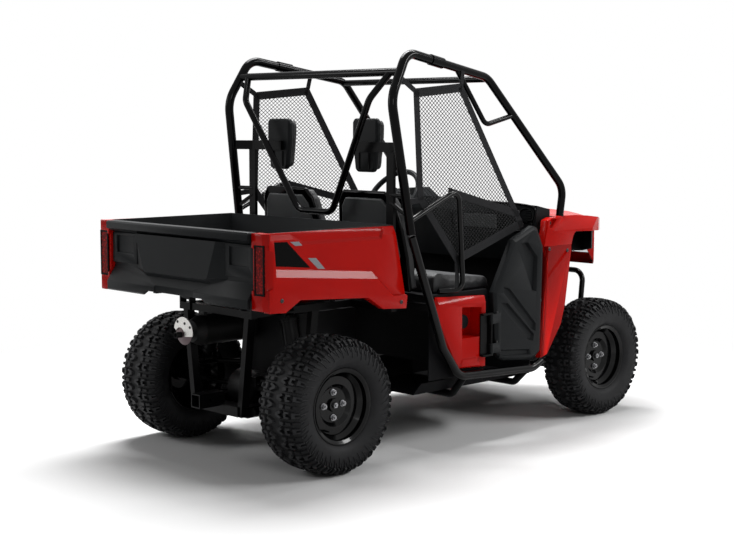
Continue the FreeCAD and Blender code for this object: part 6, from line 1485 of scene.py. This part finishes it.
@dataclass
class Seats:
    """The two seats: cushions, backs in their shells, and headrests on their bar."""

    foot: Flat = (0.534, 0.7224)
    head: Flat = (0.432, 1.192)
    back_middle: float = 0.272
    back_half: float = 0.214
    shell_rear: float = 0.010
    shell_depth: float = 0.034
    shell_edge: float = 0.012
    panel_inset: float = 0.034
    panel_from: float = 0.30
    panel_depth: float = 0.016
    panel_edge: float = 0.010
    pad_inset: float = 0.008
    pad_gap: float = 0.001
    pad_depth: float = 0.040
    rest_middle: float = 0.300
    rest_half: float = 0.081
    rest_low: float = 1.2765
    rest_high: float = 1.5195
    rest_rear: float = 0.4233
    rest_front: float = 0.4833
    rest_shell: float = 0.030
    rest_edge: float = 0.012
    rest_pad_share: Flat = (0.93, 0.92)
    rest_pad_lift: float = 0.01
    rest_pad_gap: float = 0.0005
    rest_pad_short: float = 0.003
    rib_share: float = 0.40
    rib_half: float = 0.004
    rib_proud: float = 0.005
    rib_sunk: float = 0.003
    rib_lift: float = 0.014
    rib_top: float = 1.364
    rib_edge: float = 0.002
    cushion_inner: float = 0.034
    cushion_outer: float = 0.530
    edge_angle: float = math.radians(30.0)

    # Outlines across the seat, as shares of half its width and of its height.
    BACK_SHARES = (
        (-0.95, 0.02), (0.95, 0.02), (1.0, 0.36), (0.97, 0.62), (0.84, 0.9), (0.66, 1.0), (-0.66, 1.0),
        (-0.84, 0.9), (-0.97, 0.62), (-1.0, 0.36),
    )
    REST_SHARES = (
        (-0.62, 0.0), (0.62, 0.0), (0.78, 0.06), (0.96, 0.52), (1.0, 0.62), (1.0, 0.93), (0.86, 1.0),
        (-0.86, 1.0), (-1.0, 0.93), (-1.0, 0.62), (-0.96, 0.52), (-0.78, 0.06),
    )
    # The cushion's side profile, as (ahead of the rear axle, up).
    CUSHION = (
        (0.6435, 0.7235), (1.0265, 0.7235), (1.0265, 0.755), (1.010, 0.7735), (0.665, 0.8145),
        (0.6435, 0.800),
    )

    def leaning(self, shrink: float, lowest: float, rear: float, front: float, middle: float) -> Shape:
        """A slab of the back's outline that leans with the back.

        Args:
            shrink: how far its edge lies inside the back's.
            lowest: the share of the height where it starts.
            rear: how far in front of the back's rear face it starts.
            front: where it ends.
            middle: the y of the seat's middle.

        Returns:
            The slab.
        """
        height = self.head[1] - self.foot[1]
        outline = []
        for a, b in self.BACK_SHARES:
            up = max(b, lowest)
            y = middle + a * (self.back_half - shrink)
            outline.append((y, self.foot[1] + up * (height - 2 * shrink) + shrink))
        slab = prism(outline, ahead(0.0) + rear, ahead(0.0) + front, "x")
        lean = self.head[0] - self.foot[0]
        for vertex in slab.verts:
            vertex.co.x += self.foot[0] + lean * (vertex.co.z - self.foot[1]) / height
        return slab

    def rounded(self, name: str, mesh: Shape, finish: Finish, width: float) -> None:
        """Makes a hard piece with well rounded edges, which rides on the frame."""
        made = mesh_object(name, mesh, finish)
        add_modifier(
            made, "BEVEL", width=width, segments=3, limit_method="ANGLE", angle_limit=self.edge_angle,
            miter_outer="MITER_ARC",
        )
        add_modifier(made, "WEIGHTED_NORMAL", keep_sharp=True)
        made = as_mesh(made)
        made.data.shade_smooth()
        place(made, "frame", finish.slot)

    def backs(self) -> None:
        """The leaning backs: a gloss rim, a grey rear panel and a pad in front."""
        for side in Side:
            middle = side.value * self.back_middle
            rim = self.leaning(0.0, 0.0, self.shell_rear, self.shell_depth, middle)
            self.rounded("seat_rim_" + side.label, rim, GLOSS, self.shell_edge)
            panel = self.leaning(self.panel_inset, self.panel_from, 0.0, self.panel_depth, middle)
            self.rounded("seat_rear_panel_" + side.label, panel, SHELL, self.panel_edge)
            depths = (self.shell_depth + self.pad_gap, self.shell_depth + self.pad_depth)
            pattern = self.leaning(self.pad_inset, 0.0, *depths, middle)
            Pad("seat_back_pad_" + side.label, pattern, VINYL, 0.75).build("seat_backs")

    def headrests(self) -> None:
        """The headrests: a ribbed moulded shell behind a small pad."""
        rear = ahead(self.rest_rear)
        split = self.rest_rear + self.rest_shell
        wide, tall = self.rest_pad_share
        for side in Side:
            middle = side.value * self.rest_middle
            height = self.rest_high - self.rest_low
            outline = [(middle + a * self.rest_half, self.rest_low + b * height) for a, b in self.REST_SHARES]
            ribs = []
            for share in (-self.rib_share, self.rib_share):
                y = middle + share * self.rest_half
                low = (rear - self.rib_proud, y - self.rib_half, self.rest_low + self.rib_lift)
                ribs.append(box(low, (rear + self.rib_sunk, y + self.rib_half, self.rib_top)))
            shell = prism(outline, rear, ahead(split), "x")
            self.rounded("headrest_shell_" + side.label, shell, MOULDED, self.rest_edge)
            self.rounded("headrest_ribs_" + side.label, merge(ribs), GLOSS, self.rib_edge)
            lift = self.rest_low + self.rest_pad_lift
            inner = [(middle + (y - middle) * wide, lift + (z - self.rest_low) * tall) for y, z in outline]
            depths = (ahead(split + self.rest_pad_gap), ahead(self.rest_front - self.rest_pad_short))
            pad = Pad("headrest_pad_" + side.label, prism(inner, *depths, "x"), VINYL, 0.8, cell=0.005)
            pad.build("headrests")

    def cushions(self) -> None:
        """The bottom cushions, whose tops are painted paler than their sides as painted light from above."""
        for side in Side:
            low, high = sorted((side.value * self.cushion_inner, side.value * self.cushion_outer))
            pattern = prism([(ahead(x), z) for x, z in self.CUSHION], low, high)
            Pad("seat_cushion_" + side.label, pattern, VINYL, 0.7).build("seat_cushions", SEAT_TOP_LIT)

    def build(self) -> None:
        """Makes both seats."""
        self.cushions()
        self.backs()
        self.headrests()


@dataclass
class Trim:
    """Small trim on the bodywork: screws, the bed sides' graphic and the tail lamps' frames."""

    panel_screw: Flat = (0.0095, 0.0035)
    door_screw: Flat = (0.006, 0.0025)
    bed_face: float = 0.589
    graphic_sunk: float = 0.0003
    patch_proud: float = 0.0007
    bar_proud: float = 0.0009
    lamp_border: float = 0.0075
    lamp_proud: float = 0.002
    lamp_sunk: float = 0.003

    # Places on the left side, as (ahead of the rear axle, out, up).
    BED_SCREWS = ((-0.329, 0.602, 0.781), (0.360, 0.602, 0.717))
    BODY_SCREWS = ((1.391, 0.600, 0.886), (1.533, 0.600, 0.872), (1.408, 0.587, 1.013))
    DOOR_SCREWS = ((1.000, 0.606, 0.470), (1.000, 0.606, 0.610), (1.322, 0.606, 0.640))
    # Outlines on the bed side, as (ahead of the rear axle, up).
    PATCH_CORNERS = ((-0.361, 1.020), (-0.291, 1.018), (-0.164, 0.904), (-0.362, 0.923))
    BAR_CORNERS = (
        ((-0.273, 1.017), (-0.227, 1.016), (-0.208, 0.999), (-0.245, 0.999)),
        ((-0.177, 0.945), (-0.132, 0.942), (-0.081, 0.893), (-0.120, 0.896)),
    )

    def screws(self, name: str, spots: Sequence[Point], sides: Iterable[Side], head: Flat, body: str) -> None:
        """One set of screws.

        Args:
            name: the set's name.
            spots: their places on the left side.
            sides: the sides of the vehicle that have them.
            head: the radius and height of their heads.
            body: the body that they ride on.
        """
        places = [((ahead(x), side.value * y, z), (0, side.value, 0)) for side in sides for x, y, z in spots]
        place(fittings("screws_" + name, round_head(*head), places, DARK_BOLT), body, DARK_BOLT.slot)

    def decal(self, name: str, outlines: Sequence[Sequence[Flat]], proud: float, finish: Finish) -> None:
        """Thin flat shapes on the outside of both bed sides."""
        low, high = self.bed_face - self.graphic_sunk, self.bed_face + proud
        shapes = [prism([(ahead(x), z) for x, z in outline], low, high) for outline in outlines]
        place(mesh_object(name, both(merge(shapes)), finish), "bed", finish.slot)

    def lamp_frames(self) -> None:
        """The black frames round the tail lamps' glass."""
        lamps = frame["nodes"]["tail_lamps"].data.vertices
        rear = min(vertex.co.x for vertex in lamps)
        low, high = (pick(vertex.co.z for vertex in lamps) for pick in (min, max))
        inner, outer = (pick(abs(vertex.co.y) for vertex in lamps) for pick in (min, max))
        border = self.lamp_border
        bars = [
            (inner, inner + border, low, high), (outer - border, outer, low, high),
            (inner + border, outer - border, low, low + border),
            (inner + border, outer - border, high - border, high),
        ]
        near, far = rear - self.lamp_proud, rear + self.lamp_sunk
        frames = merge([box((near, a, c), (far, b, d)) for a, b, c, d in bars])
        place(mesh_object("lamp_frames", both(frames), PATCH), "bed", PATCH.slot)

    def build(self) -> None:
        """Makes all the trim of the bodywork."""
        self.screws("bed", self.BED_SCREWS, Side, self.panel_screw, "bed")
        self.screws("body", self.BODY_SCREWS, Side, self.panel_screw, "frame")
        for side in Side:
            name = "door_" + side.label
            self.screws(name, self.DOOR_SCREWS, [side], self.door_screw, name)
        self.decal("bed_patch", [self.PATCH_CORNERS], self.patch_proud, PATCH)
        self.decal("bed_bars", self.BAR_CORNERS, self.bar_proud, STRIPE)
        self.lamp_frames()


@dataclass
class MufflerEnd:
    """What shows at the muffler's end: its face, the polished shield with its bolts, and the outlet."""

    side: float = 0.114
    up: float = 0.572
    end: float = -0.290
    outlet_side: float = 0.024
    outlet_up: float = -0.014
    shield_radius: float = 0.0690
    notch_radius: float = 0.033
    shield_gap: float = 0.002
    shield_rear: float = 0.006
    shield_edge: float = 0.0014
    bolt: Flat = (0.0065, 0.003)

    # The sections of the end's face and of the outlet as (radius, ahead), and the bolts as (left, up).
    FACE = ((0.0, 0.0), (0.0, -0.0015), (0.056, -0.0015), (0.058, 0.0))
    PIPE = ((0.0135, 0.012), (0.0135, -0.030), (0.0112, -0.030), (0.0112, 0.012))
    BOLTS = ((-0.050, 0.026), (-0.012, 0.040), (0.040, 0.044))

    def arc(self, middle: Flat, radius: float, start: float, turn: float, steps: int) -> list[Flat]:
        """Points along an arc in the y and z plane, its angles in degrees."""
        angles = [math.radians(start + turn * step / steps) for step in range(steps + 1)]
        return [(middle[0] + radius * math.cos(a), middle[1] + radius * math.sin(a)) for a in angles]

    def build(self) -> None:
        """Makes the shield over the upper half of the end, then the end, the outlet and the bolts."""
        end = ahead(self.end)
        middle = (self.side, self.up)
        hole = (self.side + self.outlet_side, self.up + self.outlet_up)
        outline = self.arc(middle, self.shield_radius, 12.0, 180.0, 16)
        outline += self.arc(hole, self.notch_radius, 190.0, -160.0, 10)
        made = mesh_object(
            "muffler_shield", prism(outline, end - self.shield_rear, end - self.shield_gap, "x"), SHIELD,
        )
        add_modifier(
            made, "BEVEL", width=self.shield_edge, segments=2, limit_method="ANGLE",
            angle_limit=math.radians(40.0),
        )
        place(as_mesh(made), "frame", SHIELD.slot)
        face = lathe(self.FACE, 40, (end, *middle), (1, 0, 0))
        place(mesh_object("muffler_end", face, PINK_STEEL, 40.0), "frame", PINK_STEEL.slot)
        pipe = lathe(self.PIPE, 28, (end, *hole), (1, 0, 0))
        place(mesh_object("muffler_outlet", pipe, MUFFLER, 40.0), "frame", MUFFLER.slot)
        places = [((end - self.shield_rear, self.side + b, self.up + c), (-1, 0, 0)) for b, c in self.BOLTS]
        bolts = fittings("shield_bolts", round_head(*self.bolt), places, DARK_BOLT)
        place(bolts, "frame", DARK_BOLT.slot)


@dataclass
class Dash:
    """The dash moulding with its curved ends, and its round vents, rims, shelf frame and grey insert."""

    face_ahead: float = 1.240
    face_top: float = 1.125
    face_lean: float = 0.115
    straight_half: float = 0.15
    curve_width: float = 0.378
    curve_power: float = 1.3
    curve_ahead: float = 0.135
    curve_down: float = 0.030
    still_ahead: float = 1.480
    still_depth: float = 0.240
    level_low: float = 0.95
    level_height: float = 0.17
    cuts: int = 10
    cut_pitch: float = 0.052
    vent_out: float = 0.478
    vent_up: float = 1.046
    vent_turn: float = 0.45
    vanes: int = 5
    vane_pitch: float = 0.012
    vane_half: float = 0.030
    rim_tube: float = 0.006
    shelf_tube: float = 0.007
    shelf_low: float = 0.985
    shelf_high: float = 1.050
    shelf_left: float = -0.085
    shelf_right: float = -0.375
    insert_half: float = 0.003

    # The vent's section as (radius, along its axis).
    VENT_RING = ((0.040, 0.010), (0.040, -0.008), (0.035, -0.011), (0.031, -0.006), (0.031, 0.010))
    # The rim round each end of the dash, as (out, up).
    RIM = (
        (0.300, 1.110), (0.420, 1.104), (0.500, 1.093), (0.522, 1.075), (0.520, 1.040), (0.492, 0.985),
        (0.420, 0.965), (0.300, 0.960),
    )

    def bend(self, x: float, y: float, z: float) -> Flat:
        """How far forward and down the dash's ends curve away from its straight middle."""
        end = max(0.0, (abs(y) - self.straight_half) / self.curve_width) ** self.curve_power
        fore = max(0.0, min(1.0, (ahead(self.still_ahead) - x) / self.still_depth))
        high = max(0.0, min(1.0, (z - self.level_low) / self.level_height))
        return self.curve_ahead * end * fore, -self.curve_down * end * high

    def face(self, y: float, z: float) -> float:
        """The x of the dash's rear face."""
        x = ahead(self.face_ahead + (self.face_top - z) * self.face_lean)
        return x + self.bend(x, y, z)[0]

    def shell(self) -> None:
        """The dash moulding, whose ends curve forward and down."""
        mesh = bmesh.new()
        mesh.from_mesh(frame["nodes"]["dash_panel"].data)
        bmesh.ops.remove_doubles(mesh, verts=mesh.verts, dist=WELD)
        for step in range(-self.cuts, self.cuts + 1):
            whole = mesh.verts[:] + mesh.edges[:] + mesh.faces[:]
            bmesh.ops.bisect_plane(
                mesh, geom=whole, plane_co=(0, step * self.cut_pitch, 0), plane_no=(0, 1, 0),
            )
        for vertex in mesh.verts:
            fore, down = self.bend(*vertex.co)
            vertex.co.x += fore
            vertex.co.z += down
        place(mesh_object("dash_moulding", mesh, MOULDED), "frame", MOULDED.slot, "dash_panel")

    def tube(self, name: str, places: Iterable[Flat], proud: float, radius: float) -> None:
        """A thin gloss tube over the dash's face, through places given as (y, z)."""
        run = [(self.face(y, z) - proud, y, z) for y, z in places]
        place(strands(name, [run], radius, 10, GLOSS), "frame", GLOSS.slot)

    def vent(self, side: Side) -> None:
        """A round vent with its vanes."""
        y, z = side.value * self.vent_out, self.vent_up
        x = self.face(y, z)
        ring = lathe(self.VENT_RING, 36, (x, y, z), (1, -self.vent_turn * side.value, 0))
        place(mesh_object("vent_ring_" + side.label, ring, GLOSS, 35.0), "frame", GLOSS.slot)
        slats = []
        for count in range(self.vanes):
            rise = self.vane_pitch * count
            low = (x - 0.004, y - self.vane_half, z - 0.024 + rise)
            slats.append(box(low, (x + 0.006, y + self.vane_half, z - 0.020 + rise)))
        place(mesh_object("vent_vanes_" + side.label, merge(slats), MOULDED), "frame", MOULDED.slot)

    def shelf(self) -> None:
        """The open shelf's frame and the grey insert inside it."""
        low, high, left, right = self.shelf_low, self.shelf_high, self.shelf_left, self.shelf_right
        corners = [(left, low), (left, high), (right, high), (right, low), (left, low)]
        self.tube("shelf_frame", corners, 0.003, self.shelf_tube)
        half = self.insert_half
        foot, head = (self.face(left, z) for z in (low, high))
        insert = [(foot - half, low), (foot + half, low), (head + half, high), (head - half, high)]
        place(mesh_object("shelf_insert", prism(insert, right, left), SHELL), "frame", SHELL.slot)

    def build(self) -> None:
        """Makes the dash and its fittings."""
        self.shell()
        for side in Side:
            self.vent(side)
            run = [(side.value * out, up) for out, up in smooth_path(self.RIM, 4)]
            self.tube("dash_rim_" + side.label, run, 0.002, self.rim_tube)
        self.shelf()


def paint_nodes() -> None:
    """Gives the CAD nodes that stay their finishes."""
    finishes: dict[Finish, Sequence[str]] = {
        GLOSS: ("rear_hoops", "front_pillars", "cage_couplers", "cage_crossbars", "centre_brace"),
        POLISHED: ("shoulder_guards", "side_tubes", "front_bumper"),
        FRAME: (
            "seat_back_frames", "chassis_rails", "outriggers", "rear_posts", "bed_deck", "front_frame",
            "front_wishbones", "rear_wishbones", "rear_knuckles", "knuckle_front_left",
            "knuckle_front_right", "steering_rack", "rack_housing", "half_shafts", "prop_shaft",
            "skid_plate", "front_shocks", "rear_shocks", "door_hinges", "steering_column",
        ),
        CAST: ("engine", "gear_cases"),
        MUFFLER: ("muffler",),
        SHADED: ("floor_pan", "seat_base", "fender_liners"),
        MOULDED: ("steering_wheel", "filler_caps"),
        RED_LENS: ("tail_lamps",),
        CLEAR_LENS: ("headlamps",),
    }
    for finish, names in finishes.items():
        for name in names:
            dress_node(name, finish)


def soften_nodes() -> None:
    """Stands a copy with rounded edges in for each moulded panel."""
    for name in ("hood", "front_fenders", "cowl_sides", "side_panels", "bed_sides"):
        soften(name, RED, 0.0030)
    for name in ("tailgate", "door_left", "door_right", "bed_tub"):
        soften(name, MOULDED, 0.0026)


def build_wheels() -> None:
    """Makes the four wheels."""
    for side in Side:
        for end, distance, out, width in AXLES:
            label = f"{end}_{side.label}"
            centre = (ahead(distance), side.value * out, AXLE_HEIGHT)
            Wheel(label, side, centre, width, "wheel_" + label).build()


def main() -> None:
    """Builds every sub-assembly in order."""
    logging.basicConfig(level=logging.INFO, format="%(message)s")
    Studio().build()
    paint_nodes()
    soften_nodes()
    build_wheels()
    for side in Side:
        SideNet(side).build()
    Seats().build()
    Trim().build()
    MufflerEnd().build()
    Dash().build()


if __name__ == "__main__":
    main()
